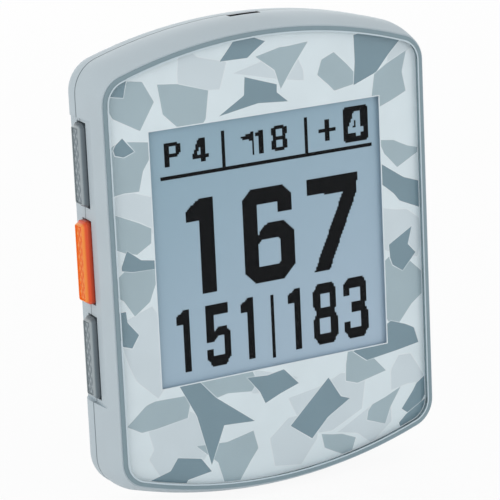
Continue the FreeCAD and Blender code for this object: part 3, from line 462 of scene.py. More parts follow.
# the page: each figure with the column and row of its upper left dot, its width and height in
# dots, and whether its dots are dark
PAGE = [
    ("P", 10, 8, 10, 13, True), ("4", 27, 8, 10, 13, True), ("bar", 45, 6, 2, 20, True),
    ("flag", 56, 9, 9, 13, True), ("1", 66, 9, 10, 13, True), ("8", 76, 8, 10, 14, True),
    ("bar", 97, 6, 2, 20, True), ("plus", 106, 9, 11, 12, True), ("box", 122, 4, 16, 20, True),
    ("4", 125, 7, 10, 14, False), ("bar", 7, 26, 133, 2, True),
    ("1", 21, 41, 32, 53, True), ("6", 56, 41, 32, 53, True), ("7", 97, 41, 32, 53, True),
    ("1", 12, 101, 16, 35, True), ("5", 30, 101, 15, 35, True), ("1", 52, 101, 16, 35, True),
    ("bar", 71, 102, 2, 36, True), ("1", 82, 101, 16, 35, True), ("8", 98, 101, 16, 35, True),
    ("3", 118, 101, 16, 35, True),
]


def within(outline, across, down):
    """Whether a point lies inside an outline."""
    hits = 0
    for (x, y), (next_x, next_y) in zip(outline, outline[1:] + outline[:1]):
        if (y > down) != (next_y > down):
            hits += across < x + (down - y) / (next_y - y) * (next_x - x)
    return hits % 2 == 1


dark_dots = set()
for figure, left, top, width, height, dark in PAGE:
    for column in range(left, left + width + 2):
        for row in range(top, top + height):
            across = (column + 0.5 - left) * FIGURE_BOX[0] / width
            down = (row + 0.5 - top) * FIGURE_BOX[1] / height
            if sum(within(outline, across, down) for outline in FIGURES[figure]) % 2:
                (dark_dots.add if dark else dark_dots.discard)((column, row))

panel_low, panel_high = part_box("display_panel")
WINDOW_WIDTH = 42.0 * MM
WINDOW_HEIGHT = 41.3 * MM
window_middle = Vector((0, panel_low.y, (panel_low.z + panel_high.z) / 2))
dots = bmesh.new()
lay = Matrix.Translation(window_middle) @ Matrix.Rotation(math.radians(90), 4, "X")
lay = lay @ Matrix.Diagonal((WINDOW_WIDTH / 2, WINDOW_HEIGHT / 2, 1, 1))
bmesh.ops.create_grid(dots, x_segments=COLUMNS, y_segments=ROWS, size=1, matrix=lay)


def dot_at(side):
    """The column and row of one dot of the grid."""
    place = side.calc_center_median() - window_middle
    return (int((place.x / WINDOW_WIDTH + 0.5) * COLUMNS), int((0.5 - place.z / WINDOW_HEIGHT) * ROWS))


unlit = [side for side in dots.faces if dot_at(side) not in dark_dots]
bmesh.ops.delete(dots, geom=unlit, context="FACES")
raised = bmesh.ops.extrude_face_region(dots, geom=dots.faces[:], use_keep_orig=True)["geom"]
bmesh.ops.translate(dots, vec=(0, -DOT_HEIGHT, 0), verts=only(bmesh.types.BMVert, raised))
bmesh.ops.recalc_face_normals(dots, faces=dots.faces)
display_ink = moulded("display_ink", srgb(9, 11, 14), 0.6, relief=0.0005, shine=0.1)
add_piece("display_dots", dots, [display_ink], "housing", "display_glass")


def display_glass():
    """The polariser's blue-grey, painted darker towards the top and lighter towards the bottom as shade
    and light, with the faint lines between the dots.
    """
    material, tree, shader = new_material("display_glass", srgb(150, 177, 192), 0.4, shine=0.3)
    place = millimetres(tree)
    height = node(tree, "SeparateXYZ", {0: place})
    # painted shade and light: the colour runs from lighter low down to darker at the top
    painted_light_slant = node(tree, "Math", {0: height.outputs["X"], 1: -0.45, 2: height.outputs["Z"]},
                 operation="MULTIPLY_ADD").outputs[0]
    share = spread(tree, painted_light_slant, 0.0, 1.0, -26.0, 24.0)
    tint = node(tree, "ValToRGB", {0: share})
    tint.color_ramp.elements[0].color = srgb(184, 207, 226)
    tint.color_ramp.elements[1].color = srgb(158, 188, 205)
    flat = node(tree, "Mapping", {"Vector": place, "Rotation": (math.radians(90), 0, 0)}).outputs[0]
    lines = node(tree, "TexBrick", {"Vector": flat, "Scale": 1.0, "Mortar Size": 0.012,
                                    "Brick Width": WINDOW_WIDTH / MM / COLUMNS,
                                    "Row Height": WINDOW_HEIGHT / MM / ROWS,
                                    "Color1": (1, 1, 1, 1), "Color2": (1, 1, 1, 1),
                                    "Mortar": (0.93, 0.93, 0.93, 1)}, offset=0.0)
    mixed = node(tree, "Mix", {0: 1.0, 6: tint.outputs[0], 7: lines.outputs[0]}, data_type="RGBA",
                 blend_type="MULTIPLY")
    tree.links.new(mixed.outputs[2], shader.inputs["Base Color"])
    return material


dress(display_glass(), "display_panel")


# ---------------------------------------------------------------------------------------------
# Side buttons
# Three hard plastic caps, moulded in colour, with a broad bevel and a diamond-cut grip in a shallow
# tray on the face. A flange behind the wall keeps each one in, and a stem presses its boot.
# ---------------------------------------------------------------------------------------------
CAP_CORNER = 0.9 * MM
CAP_EDGE = 0.7 * MM
CAP_SOFTENING = 0.15 * MM
WINDOW_ROOT = -28.9
FLANGE_MARGIN = 0.65 * MM
FLANGE_FRONT = -27.35 * MM
FLANGE_BACK = -26.8 * MM
STEM_WIDTH = 1.8 * MM
STEM_LENGTH = 6.0 * MM
TRAY_MARGIN = 0.12 * MM
TRAY_TAPER = 0.05 * MM
TRAY_DEPTH = 0.24 * MM
DIAMOND_WIDTH = 0.7 * MM
DIAMOND_LENGTH = 1.3 * MM
DIAMOND_HEIGHT = 0.22 * MM
DIAMOND_SHEET_SHARE = 0.75


def block(mesh, low, high):
    """A plain block from its lowest to its highest corner."""
    size = high - low
    place = Matrix.Translation((low + high) / 2) @ Matrix.Diagonal((*size, 1))
    return bmesh.ops.create_cube(mesh, size=1, matrix=place)["verts"]


def inward_run(edge):
    """How far an edge runs towards the middle of the case."""
    return abs(edge.verts[0].co.x - edge.verts[1].co.x)


def button_cap(mesh, low, high):
    """The cap: rounded corners, a bevelled face, and the tray for the diamonds."""
    block(mesh, low + Vector((CAP_EDGE, 0, 0)), high)
    corners = [edge for edge in mesh.edges if inward_run(edge) > MM]
    bmesh.ops.bevel(mesh, geom=corners, offset=CAP_CORNER, offset_type="OFFSET", segments=5,
                    profile=0.5, affect="EDGES", material=-1)
    face = [side for side in mesh.faces if side.normal.x < -0.9]
    bmesh.ops.inset_region(mesh, faces=face, thickness=CAP_EDGE, use_even_offset=True)
    for corner in face[0].verts:
        corner.co.x -= CAP_EDGE
    rings = [edge for edge in mesh.edges
             if inward_run(edge) < JOIN and edge.verts[0].co.x < low.x + CAP_EDGE + JOIN]
    bmesh.ops.bevel(mesh, geom=rings, offset=CAP_SOFTENING, offset_type="OFFSET", segments=3,
                    profile=0.5, affect="EDGES", material=-1)
    face = [side for side in mesh.faces
            if side.normal.x < -0.999 and side.calc_center_median().x < low.x + JOIN]
    bmesh.ops.inset_region(mesh, faces=face, thickness=TRAY_MARGIN, use_even_offset=True)
    bmesh.ops.inset_region(mesh, faces=face, thickness=TRAY_TAPER, use_even_offset=True)
    for corner in {corner for side in face for corner in side.verts}:
        corner.co.x = low.x + TRAY_DEPTH


def diamond_grip(mesh, low, high, face):
    """The diamonds: a sheet of low pyramids, cut to the tray and closed behind."""
    middle = (low + high) / 2
    reach = (high.z - low.z) * DIAMOND_SHEET_SHARE
    count = int(2 * reach / DIAMOND_LENGTH)
    squeeze = Matrix.Diagonal((DIAMOND_WIDTH / DIAMOND_LENGTH, 1, 1, 1))
    lean = squeeze @ Matrix.Rotation(math.radians(45), 4, "Z")
    turn = Matrix.Rotation(math.radians(-90), 4, "Y") @ Matrix.Rotation(math.radians(90), 4, "Z")
    place = Matrix.Translation((face + DIAMOND_HEIGHT, middle.y, middle.z)) @ turn @ lean
    sheet = bmesh.ops.create_grid(mesh, x_segments=count, y_segments=count, size=reach,
                                  matrix=place)["verts"]
    cells = list({side for corner in sheet for side in corner.link_faces})
    peaks = bmesh.ops.poke(mesh, faces=cells, offset=0)
    bmesh.ops.translate(mesh, vec=(-DIAMOND_HEIGHT, 0, 0), verts=peaks["verts"])
    parts = set(peaks["faces"])
    for axis, edge, way in ((1, low.y, -1), (1, high.y, 1), (2, low.z, -1), (2, high.z, 1)):
        outward = Vector((0, 0, 0))
        outward[axis] = way
        corner = middle.copy()
        corner[axis] = edge
        geometry = set(parts)
        for side in parts:
            geometry.update(side.edges)
            geometry.update(side.verts)
        cut = bmesh.ops.bisect_plane(mesh, geom=list(geometry), dist=JOIN, plane_co=corner,
                                     plane_no=outward, clear_outer=True)
        parts = {side for side in only(bmesh.types.BMFace, cut["geom"]) if side.is_valid}
    for side in parts:
        side.material_index = 1
    border = [edge for side in parts for edge in side.edges if edge.is_boundary]
    skirt = bmesh.ops.extrude_edge_only(mesh, edges=list(set(border)))["geom"]
    for corner in only(bmesh.types.BMVert, skirt):
        corner.co.x = face + DIAMOND_HEIGHT + TRAY_DEPTH
    bmesh.ops.holes_fill(mesh, edges=only(bmesh.types.BMEdge, skirt), sides=0)


def button_plastic(name, face, colour, side_painted_shade, root_painted_shade):
    """Plastic moulded in colour, with painted shade darkening it down its sides into the window."""
    material, tree, shader = new_material(name, colour, 0.45, coat=0.1)
    place = millimetres(tree)
    fine = noise(tree, place, 0.12, 3.0)
    depth = node(tree, "SeparateXYZ", {0: place}).outputs["X"]
    tint = node(tree, "ValToRGB", {0: spread(tree, depth, 0.0, 1.0, face / MM, WINDOW_ROOT)})
    ramp = tint.color_ramp.elements
    ramp[0].position = 0.12
    ramp[0].color = colour
    ramp[1].color = root_painted_shade
    middle = ramp.new(0.3)
    middle.color = side_painted_shade
    tree.links.new(tint.outputs[0], shader.inputs["Base Color"])
    tree.links.new(spread(tree, fine, 0.38, 0.52), shader.inputs["Roughness"])
    bumps(tree, shader, fine, 0.002)
    return material


def grip_plastic(name, face, colour, valley_painted_shade):
    """The same plastic on the diamonds: lighter on their peaks, and darker in the valleys as painted
    shade.
    """
    material, tree, shader = new_material(name, colour, 0.5)
    place = millimetres(tree)
    depth = node(tree, "SeparateXYZ", {0: place}).outputs["X"]
    valley_shade_share = spread(tree, depth, 0.0, 1.0, face / MM, (face + DIAMOND_HEIGHT) / MM)
    tree.links.new(blended(tree, valley_shade_share, colour, valley_painted_shade), shader.inputs["Base Color"])
    bumps(tree, shader, noise(tree, place, 0.12, 3.0), 0.002)
    return material


# each: the face colour, then painted shade down the sides and near-black painted shade at the root
GREY_AND_PAINTED_SHADES = (srgb(163, 173, 177), srgb(100, 114, 122), srgb(16, 22, 28))
ORANGE_AND_PAINTED_SHADES = (srgb(255, 148, 52), srgb(236, 80, 14), srgb(120, 16, 4))
# each grip: the colour on the peaks, then the painted shade in the valleys
GREY_GRIP_AND_PAINTED_SHADE = (srgb(184, 194, 198), srgb(112, 124, 131))
ORANGE_GRIP_AND_PAINTED_SHADE = (srgb(255, 170, 92), srgb(238, 98, 20))
for button, slot, colours, grip_colours in (("upper", "button_grey", GREY_AND_PAINTED_SHADES, GREY_GRIP_AND_PAINTED_SHADE),
                                            ("select", "button_orange", ORANGE_AND_PAINTED_SHADES, ORANGE_GRIP_AND_PAINTED_SHADE),
                                            ("lower", "button_grey", GREY_AND_PAINTED_SHADES, GREY_GRIP_AND_PAINTED_SHADE)):
    low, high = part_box(f"{button}_button")
    margin = Vector((0, FLANGE_MARGIN, FLANGE_MARGIN))
    cap_low = low + margin
    cap_high = Vector((FLANGE_FRONT, high.y - margin.y, high.z - margin.z))
    cap = bmesh.new()
    button_cap(cap, cap_low, cap_high)
    inset = Vector((0, 1, 1)) * (CAP_EDGE + CAP_SOFTENING / 2 + TRAY_MARGIN + TRAY_TAPER)
    diamond_grip(cap, cap_low + inset, cap_high - inset, low.x)
    block(cap, Vector((FLANGE_FRONT, low.y, low.z)), Vector((FLANGE_BACK, high.y, high.z)))
    stem = Vector((0, STEM_WIDTH / 2, STEM_LENGTH / 2))
    middle = (low + high) / 2
    block(cap, Vector((FLANGE_BACK, *(middle - stem)[1:])), Vector((high.x, *(middle + stem)[1:])))
    bmesh.ops.recalc_face_normals(cap, faces=cap.faces)
    soften(cap, 20)
    plastics = [button_plastic(f"{button}_{slot}", low.x, *colours),
                grip_plastic(f"{button}_{slot}_grip", low.x, *grip_colours)]
    add_piece(f"{button}_button_cap", cap, plastics, f"{button}_button_body", slot, f"{button}_button")


# ---------------------------------------------------------------------------------------------
# Rubber parts
# The keypad strip with its boots, and the seal between the shells, are dark silicone, soft and
# slightly dusty. The strip is clipped behind the wall, and the seal lies in the cover's groove.
# ---------------------------------------------------------------------------------------------
silicone = moulded("silicone", srgb(66, 70, 74), 0.75, grain=0.2, relief=0.004, drift=0.1)
dress(silicone, "perimeter_seal", "keypad_strip", "upper_boot", "select_boot", "lower_boot")


# ---------------------------------------------------------------------------------------------
# Switches, connectors and contact block
# Small side switches soldered to the board's edge: black glass-filled nylon cases with white
# plungers that the boots press. Both connectors and the contact block are of the same nylon.
# ---------------------------------------------------------------------------------------------
nylon = moulded("black_nylon", srgb(44, 46, 48), 0.5, grain=0.1, relief=0.003, drift=0.08)
plunger_nylon = moulded("plunger_nylon", srgb(226, 224, 214), 0.4, grain=0.1, relief=0.001)
for button in ("upper", "select", "lower"):
    dress(nylon, f"{button}_switch")
    dress(plunger_nylon, f"{button}_plunger")
dress(nylon, "ribbon_connector", "battery_connector", "contact_block")


# ---------------------------------------------------------------------------------------------
# Case screws
# Four zinc-plated screws with a six-lobed recess, driven from the back into brass inserts. The
# inserts are turned from brass, knurled, and pressed into the front frame's bosses.
# ---------------------------------------------------------------------------------------------
SCREW_HEAD_RADIUS = 1.8 * MM
SCREW_HEAD_HEIGHT = 1.2 * MM
SCREW_SHANK_RADIUS = 0.95 * MM
SCREW_ROUNDS = 24
HEAD_ROUNDING = 0.25 * MM
RECESS_RADIUS = 1.0 * MM
RECESS_LOBES = 6
RECESS_SWELL = 0.18
RECESS_DEPTH = 0.7 * MM
THREAD_PITCH = 0.45 * MM
THREAD_DEPTH = 0.12 * MM


def plated(name, colour, roughness, grain=0.4, stretch=(1, 1, 1), relief=0.001):
    """Bare or plated metal, with a brushed or tumbled grain."""
    material, tree, shader = new_material(name, colour, roughness, metallic=1.0)
    place = millimetres(tree, stretch)
    fine = noise(tree, place, grain, 4.0)
    tree.links.new(shaded(tree, colour, spread(tree, fine, 0.9, 1.05)), shader.inputs["Base Color"])
    tree.links.new(spread(tree, fine, roughness - 0.08, roughness + 0.1), shader.inputs["Roughness"])
    bumps(tree, shader, fine, relief)
    return material


def turned(mesh, axis_at, profile, rounds=SCREW_ROUNDS):
    """A part turned about an axis that runs front to back: its profile is (radius, depth) pairs."""
    corners = [mesh.verts.new(axis_at + Vector((radius, depth, 0))) for radius, depth in profile]
    edges = [mesh.edges.new(pair) for pair in zip(corners, corners[1:])]
    bmesh.ops.spin(mesh, geom=corners + edges, cent=axis_at, axis=(0, 1, 0), angle=math.tau,
                   steps=rounds, use_merge=True)


def recessed_screw(mesh, axis_at, head_top, foot):
    """A screw: a domed head with a six-lobed recess, and a threaded shank that points forward."""
    under = head_top - SCREW_HEAD_HEIGHT
    brim_radius = SCREW_HEAD_RADIUS - HEAD_ROUNDING
    lobes = bmesh.ops.create_circle(mesh, segments=SCREW_ROUNDS, radius=RECESS_RADIUS,
                                    cap_ends=False)["verts"]
    for place, corner in enumerate(lobes):
        swell = 1 + RECESS_SWELL * math.cos(RECESS_LOBES * math.tau * place / SCREW_ROUNDS)
        corner.co = axis_at + Vector((corner.co.x * swell, head_top, corner.co.y * swell))
    lip = list({edge for corner in lobes for edge in corner.link_edges})
    brim = bmesh.ops.extrude_edge_only(mesh, edges=lip)["geom"]
    for corner in only(bmesh.types.BMVert, brim):
        out = (corner.co - axis_at) * Vector((1, 0, 1))
        corner.co = axis_at + out.normalized() * brim_radius + Vector((0, head_top, 0))
    well = bmesh.ops.extrude_edge_only(mesh, edges=lip)["geom"]
    for corner in only(bmesh.types.BMVert, well):
        corner.co.y -= RECESS_DEPTH
    floor_sides = bmesh.ops.holes_fill(mesh, edges=only(bmesh.types.BMEdge, well), sides=0)["faces"]
    # the recess walls and floor take the dark painted shade
    for side in floor_sides + only(bmesh.types.BMFace, well):
        side.material_index = 1
    profile = [(brim_radius, head_top),
               (SCREW_HEAD_RADIUS - HEAD_ROUNDING / 4, head_top - HEAD_ROUNDING / 3),
               (SCREW_HEAD_RADIUS, head_top - HEAD_ROUNDING),
               (SCREW_HEAD_RADIUS, under), (SCREW_SHANK_RADIUS, under)]
    turns = int((under - foot) / THREAD_PITCH)
    for turn in range(turns):
        crest = under - turn * THREAD_PITCH
        profile.append((SCREW_SHANK_RADIUS, crest - THREAD_PITCH / 4))
        profile.append((SCREW_SHANK_RADIUS - THREAD_DEPTH, crest - THREAD_PITCH * 3 / 4))
    profile += [(SCREW_SHANK_RADIUS - THREAD_DEPTH, foot), (0, foot)]
    turned(mesh, axis_at, profile)


screw_low, screw_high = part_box("case_screws")
screws = bmesh.new()
for across in (screw_low.x + SCREW_HEAD_RADIUS, screw_high.x - SCREW_HEAD_RADIUS):
    for up in (screw_low.z + SCREW_HEAD_RADIUS, screw_high.z - SCREW_HEAD_RADIUS):
        recessed_screw(screws, Vector((across, 0, up)), screw_high.y, screw_low.y)
bmesh.ops.remove_doubles(screws, verts=screws.verts, dist=JOIN)
bmesh.ops.recalc_face_normals(screws, faces=screws.faces)
soften(screws)
zinc = plated("zinc_plate", srgb(172, 176, 182), 0.32, grain=0.3)
# the recess is painted dark grey as the shade inside it
recess_painted_shade = plated("recess_painted_shade", srgb(58, 60, 64), 0.6, grain=0.2)
add_piece("lobed_screws", screws, [zinc, recess_painted_shade], "housing", "screw_steel", "case_screws")
dress(zinc, "board_screws")
dress(plated("insert_brass", srgb(214, 178, 104), 0.3, grain=0.35, stretch=(1, 4, 1), relief=0.02),
      "threaded_inserts")


# ---------------------------------------------------------------------------------------------
# Magnet pad and magnets
# A round rubber pad with fine rings, glued into the back over four nickel-plated magnets, so that
# the unit holds to a cart's steel frame without scratching it.
# ---------------------------------------------------------------------------------------------
PAD_ROUNDS = 96
RING_PITCH = 1.5 * MM
RING_WIDTH = 0.35 * MM
RING_DEPTH = 0.15 * MM
PAD_EDGE = 0.2 * MM
FIRST_RING = 6.0 * MM

pad_low, pad_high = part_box("magnet_pad")
pad_radius = pad_high.x
profile = [(0, pad_low.y), (pad_radius, pad_low.y), (pad_radius, pad_high.y - PAD_EDGE),
           (pad_radius - PAD_EDGE, pad_high.y)]
rings = int((pad_radius - FIRST_RING) / RING_PITCH)
for ring in range(rings, 0, -1):
    outer = FIRST_RING + ring * RING_PITCH - RING_PITCH / 2
    profile += [(outer, pad_high.y), (outer - RING_WIDTH / 4, pad_high.y - RING_DEPTH),
                (outer - RING_WIDTH * 3 / 4, pad_high.y - RING_DEPTH), (outer - RING_WIDTH, pad_high.y)]
profile.append((0, pad_high.y))
pad = bmesh.new()
turned(pad, Vector(), profile, PAD_ROUNDS)
bmesh.ops.remove_doubles(pad, verts=pad.verts, dist=JOIN)
bmesh.ops.recalc_face_normals(pad, faces=pad.faces)
soften(pad, 20)
pad_rubber = moulded("pad_rubber", srgb(84, 91, 97), 0.8, grain=0.15, relief=0.006, drift=0.08)
add_piece("ringed_pad", pad, [pad_rubber], "housing", "pad_rubber", "magnet_pad")
dress(plated("nickel", srgb(196, 192, 184), 0.22, grain=0.6), "magnets")


# ---------------------------------------------------------------------------------------------
# Charging contacts
# Four gold-plated brass pins with domed heads, turned, and pressed into the nylon block that is
# set into the back of the case.
# ---------------------------------------------------------------------------------------------
PIN_RADIUS = 0.55 * MM
PIN_TAIL_SHARE = 0.6
PIN_SHOULDER = -2.9 * MM
PIN_DOME = 0.22 * MM
DOME_STEPS = 6
PIN_PITCH = 2.54 * MM
PIN_COUNT = 4

pin_low, pin_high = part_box("contact_pins")
pins = bmesh.new()
pin_up = (pin_low.z + pin_high.z) / 2
for place in range(PIN_COUNT):
    axis_at = Vector(((place - (PIN_COUNT - 1) / 2) * PIN_PITCH, 0, pin_up))
    dome = [(PIN_RADIUS * math.cos(turn), pin_high.y - PIN_DOME + PIN_DOME * math.sin(turn))
            for turn in (math.radians(90 / DOME_STEPS * step) for step in range(DOME_STEPS + 1))]
    tail = PIN_RADIUS * PIN_TAIL_SHARE
    turned(pins, axis_at, [(0, pin_low.y), (tail, pin_low.y), (tail, PIN_SHOULDER),
                           (PIN_RADIUS, PIN_SHOULDER)] + dome)
bmesh.ops.remove_doubles(pins, verts=pins.verts, dist=JOIN)
bmesh.ops.recalc_face_normals(pins, faces=pins.faces)
soften(pins)
gold = plated("contact_gold", srgb(232, 190, 96), 0.2, grain=0.3)
add_piece("domed_pins", pins, [gold], "housing", "contact_gold", "contact_pins")


# ---------------------------------------------------------------------------------------------
# Sounder and its mesh
# The sounder is a black epoxy-filled can under the slot in the top of the case. A dark woven steel
# mesh across the slot's foot keeps dirt out.
# ---------------------------------------------------------------------------------------------
WEAVE_PITCH = 0.4 * MM
WEAVE_GAP = 0.13 * MM

mesh_low, mesh_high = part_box("sounder_mesh")
middle = (mesh_low + mesh_high) / 2
span = (mesh_high - mesh_low) / 2
weave = bmesh.new()
lay = Matrix.Translation((0, middle.y, mesh_low.z)) @ Matrix.Diagonal((*span.xy, 1, 1))
bmesh.ops.create_grid(weave, x_segments=int(2 * span.x / WEAVE_PITCH),
                      y_segments=int(2 * span.y / WEAVE_PITCH), size=1, matrix=lay)
cells = weave.faces[:]
bmesh.ops.inset_individual(weave, faces=cells, thickness=WEAVE_GAP)
bmesh.ops.delete(weave, geom=cells, context="FACES")
raised = bmesh.ops.extrude_face_region(weave, geom=weave.faces[:], use_keep_orig=True)["geom"]
bmesh.ops.translate(weave, vec=(0, 0, mesh_high.z - mesh_low.z), verts=only(bmesh.types.BMVert, raised))
bmesh.ops.recalc_face_normals(weave, faces=weave.faces)
mesh_steel = plated("mesh_steel", srgb(46, 48, 52), 0.5, grain=0.1)
add_piece("sound_mesh", weave, [mesh_steel], "housing", "mesh_steel", "sounder_mesh")


# ---------------------------------------------------------------------------------------------
# Display mounting
# The panel sits in a grey tray. A closed-cell foam gasket seals it to the lens, clear adhesive
# holds the lens, and an amber ribbon with copper tracks runs from the panel to its connector.
# ---------------------------------------------------------------------------------------------
def foamed(name, colour, cell):
    """Closed-cell foam: round cells of one size, with soft edges, each painted darker in its middle as
    shade in its pit.
    """
    material, tree, shader = new_material(name, colour, 0.9)
    place = millimetres(tree)
    cells = node(tree, "TexVoronoi", {"Vector": place, "Scale": 1 / cell}).outputs["Distance"]
    shade = spread(tree, cells, 0.82, 1.06, 0.0, 0.7)
    tree.links.new(shaded(tree, colour, shade), shader.inputs["Base Color"])
    bumps(tree, shader, cells, cell / 8)
    return material


def tracked_ribbon():
    """Amber polyimide with copper tracks along it."""
    colour = srgb(196, 132, 46)
    material, tree, shader = new_material("ribbon_polyimide", colour, 0.35, coat=0.3)
    place = millimetres(tree)
    tracks = node(tree, "TexWave", {"Vector": place, "Scale": 0.9, "Distortion": 0.0},
                  bands_direction="X").outputs[1]
    copper = spread(tree, tracks, 0.0, 1.0, 0.45, 0.55)
    tint = blended(tree, copper, colour, srgb(150, 84, 34))
    tree.links.new(tint, shader.inputs["Base Color"])
    bumps(tree, shader, copper, 0.01)
    return material


dress(foamed("gasket_foam", srgb(58, 62, 66), 0.12), "display_gasket")
dress(foamed("cushion_foam", srgb(92, 96, 98), 0.25), "battery_cushion")
dress(moulded("tray_plastic", srgb(214, 217, 216), 0.5, grain=0.4, relief=0.003), "display_tray")
dress(moulded("tape_adhesive", srgb(236, 238, 232), 0.3, grain=0.6, relief=0.01, drift=0.06),
      "lens_adhesive", "battery_tape")
dress(tracked_ribbon(), "display_ribbon")


# ---------------------------------------------------------------------------------------------
# Main board and what is soldered to it
# A green fibreglass board with tracks and plated holes. It carries black epoxy chips with a
# moulded dot at pin one, a tinned shield with vent holes, and the ceramic antenna with its plate.
# ---------------------------------------------------------------------------------------------
def board_laminate():
    """Green solder mask over square-cornered copper tracks, with gold test points."""
    mask, track, pad_gold = srgb(22, 92, 58), srgb(46, 128, 80), srgb(222, 184, 96)
    material, tree, shader = new_material("board_laminate", mask, 0.35, coat=0.2)
    place = millimetres(tree)
    flat = node(tree, "Mapping", {"Vector": place, "Rotation": (math.radians(90), 0, 0)}).outputs[0]
    squares = node(tree, "TexVoronoi", {"Vector": flat, "Scale": 0.45}, distance="MANHATTAN",
                   feature="F2").outputs["Distance"]
    lines = combined(tree, "PINGPONG", squares, 0.12)
    copper = spread(tree, lines, 0.0, 1.0, 0.05, 0.07)
    points = node(tree, "TexVoronoi", {"Vector": flat, "Scale": 0.3,
                                       "Randomness": 0.7}).outputs["Distance"]
    bare = spread(tree, points, 1.0, 0.0, 0.1, 0.12)
    tint = blended(tree, bare, blended(tree, copper, mask, track), pad_gold)
    tree.links.new(tint, shader.inputs["Base Color"])
    tree.links.new(bare, shader.inputs["Metallic"])
    bumps(tree, shader, copper, 0.02)
    return material


PIN_ONE_INSET = 0.9 * MM


def chip_epoxy(name, low, high):
    """Black filled epoxy, with a round dot moulded beside pin one."""
    colour = srgb(38, 39, 41)
    material, tree, shader = new_material(f"epoxy_{name}", colour, 0.6)
    place = millimetres(tree)
    filler = noise(tree, place, 0.06, 2.0)
    dot = Vector((low.x + PIN_ONE_INSET, high.y, high.z - PIN_ONE_INSET)) / MM
    away = node(tree, "VectorMath", {0: place, 1: dot}, operation="DISTANCE").outputs["Value"]
    dished = spread(tree, away, 0.0, 1.0, 0.3, 0.36)
    shade = combined(tree, "MULTIPLY", spread(tree, filler, 0.7, 1.3),
                     spread(tree, dished, 1.5, 1.0, 0.0, 1.0))
    tree.links.new(shaded(tree, colour, shade), shader.inputs["Base Color"])
    bumps(tree, shader, dished, 0.05)
    return material


def vented_shield():
    """Tinned steel with rows of small vent holes painted as near-black dots, the shade inside them."""
    tin = srgb(198, 200, 202)
    material = plated("shield_tin", tin, 0.3, grain=0.5)
    tree = material.node_tree
    shader = tree.nodes["Principled BSDF"]
    place = millimetres(tree)
    holes = node(tree, "TexVoronoi", {"Vector": place, "Scale": 0.7,
                                      "Randomness": 0.0}).outputs["Distance"]
    solid = spread(tree, holes, 0.0, 1.0, 0.2, 0.24)
    # painted shade: the vent holes are near-black dots on the tin
    tree.links.new(blended(tree, solid, srgb(20, 20, 20), tin), shader.inputs["Base Color"])
    return material


dress(board_laminate(), "main_board")
for chip in ("processor", "memory_chip", "sounder"):
    dress(chip_epoxy(chip, *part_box(chip)), chip)
dress(vented_shield(), "radio_shield")
dress(moulded("antenna_ceramic", srgb(204, 184, 150), 0.55, grain=0.12, relief=0.004, drift=0.06),
      "gps_antenna")
dress(plated("antenna_silver", srgb(206, 206, 200), 0.35, grain=0.8), "antenna_plate")


# ---------------------------------------------------------------------------------------------
# Battery
# A lithium pouch cell in crinkled foil, taped to the inside of the rear cover and steadied by a
# foam cushion behind the board. Two nickel tabs run to the battery connector.
# ---------------------------------------------------------------------------------------------
def pouch_foil():
    """Laminated foil: dull silver, softly crinkled, painted darker in the hollows of the crinkles as
    shade.
    """
    colour = srgb(186, 190, 196)
    material, tree, shader = new_material("pouch_foil", colour, 0.4, metallic=0.8)
    place = millimetres(tree)
    crinkle = node(tree, "TexVoronoi", {"Vector": place, "Scale": 0.35, "Detail": 2.0},
                   feature="SMOOTH_F1")
    folds = crinkle.outputs["Distance"]
    tree.links.new(shaded(tree, colour, spread(tree, folds, 0.9, 1.05)), shader.inputs["Base Color"])
    bumps(tree, shader, folds, 0.15)
    return material


dress(pouch_foil(), "battery")
dress(plated("tab_nickel", srgb(190, 186, 176), 0.35, grain=0.3, stretch=(0.2, 1, 1)), "battery_tabs")


# ---------------------------------------------------------------------------------------------
# Floor, light and camera
# A matte white floor that takes the unit's shadow, three large soft lamps, and an even white sky.
# Floor and sky read as plain white wherever they are seen straight, in gloss or through glass.
# ---------------------------------------------------------------------------------------------
def seen_directly(tree):
    """One for camera, glossy and transmission rays, nought for all others."""
    path = node(tree, "LightPath").outputs
    straight = combined(tree, "MAXIMUM", path["Is Camera Ray"], path["Is Glossy Ray"])
    return combined(tree, "MAXIMUM", straight, path["Is Transmission Ray"])


FLOOR_SIZE = 6.0
FLOOR_GLOW = 0.92
SKY_LEVEL = 0.72
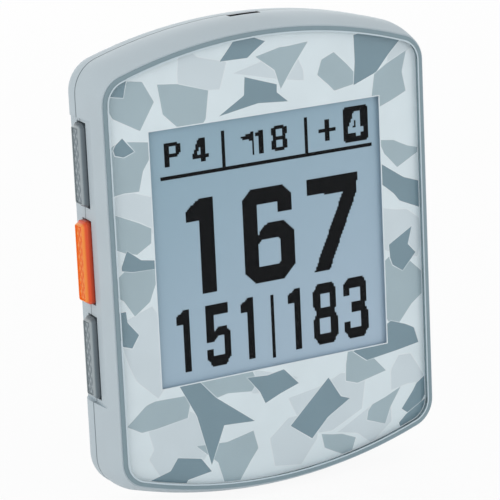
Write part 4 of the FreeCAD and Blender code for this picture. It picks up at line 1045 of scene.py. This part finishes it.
# each lamp's name, place and width in metres, and power in watts
LAMPS = [("key", (-0.75, -0.5, 0.08), 0.5, 1.8), ("fill", (0.5, -0.8, 0.04), 0.6, 1.3),
         ("back", (0.3, 0.8, 0.15), 0.6, 1.5)]
CAMERA_PLACE = Vector((-0.21373, -0.38352, 0.10902))
CAMERA_VIEW = Vector((0.47728, 0.84427, -0.24368))
CAMERA_UP = Vector((0.15998, 0.18918, 0.96880))
CAMERA_LENS = 199.66
CAMERA_SENSOR = 36.0

floor_mesh = bmesh.new()
bmesh.ops.create_grid(floor_mesh, x_segments=1, y_segments=1, size=FLOOR_SIZE / 2,
                      matrix=Matrix.Translation((0, 0, cad_box[0][2])))
floor_data = bpy.data.meshes.new("floor")
floor_mesh.to_mesh(floor_data)
floor_mesh.free()
floor = bpy.data.objects.new("floor", floor_data)
scene.collection.objects.link(floor)
floor_material, floor_tree, floor_shader = new_material("floor_white", (0.9, 0.9, 0.9, 1), 0.9)
glow = node(floor_tree, "Emission", {"Color": (1, 1, 1, 1), "Strength": 1.0})
share = combined(floor_tree, "MULTIPLY", seen_directly(floor_tree), FLOOR_GLOW)
blend = node(floor_tree, "MixShader", {0: share, 1: floor_shader.outputs[0], 2: glow.outputs[0]})
floor_tree.links.new(blend.outputs[0], floor_tree.nodes["Material Output"].inputs[0])
floor_data.materials.append(floor_material)

world = bpy.data.worlds.new("studio")
scene.world = world
world.use_nodes = True
sky = world.node_tree
ambient = sky.nodes["Background"]
level = spread(sky, seen_directly(sky), SKY_LEVEL, 1.0, 0.0, 1.0)
ambient.inputs["Color"].default_value = (1, 1, 1, 1)
sky.links.new(level, ambient.inputs["Strength"])

for name, place, size, power in LAMPS:
    lamp = bpy.data.lights.new(name, "AREA")
    lamp.size = size
    lamp.energy = power
    holder = bpy.data.objects.new(name, lamp)
    scene.collection.objects.link(holder)
    holder.location = place
    holder.rotation_euler = (-Vector(place)).to_track_quat("-Z", "Y").to_euler()

camera_data = bpy.data.cameras.new("camera")
camera_data.lens = CAMERA_LENS
camera_data.sensor_width = CAMERA_SENSOR
camera = bpy.data.objects.new("camera", camera_data)
scene.collection.objects.link(camera)
turn = Matrix((CAMERA_VIEW.cross(CAMERA_UP), CAMERA_UP, -CAMERA_VIEW)).transposed()
camera.matrix_world = Matrix.Translation(CAMERA_PLACE) @ turn.to_4x4()
scene.camera = camera
scene.view_settings.view_transform = "Standard"
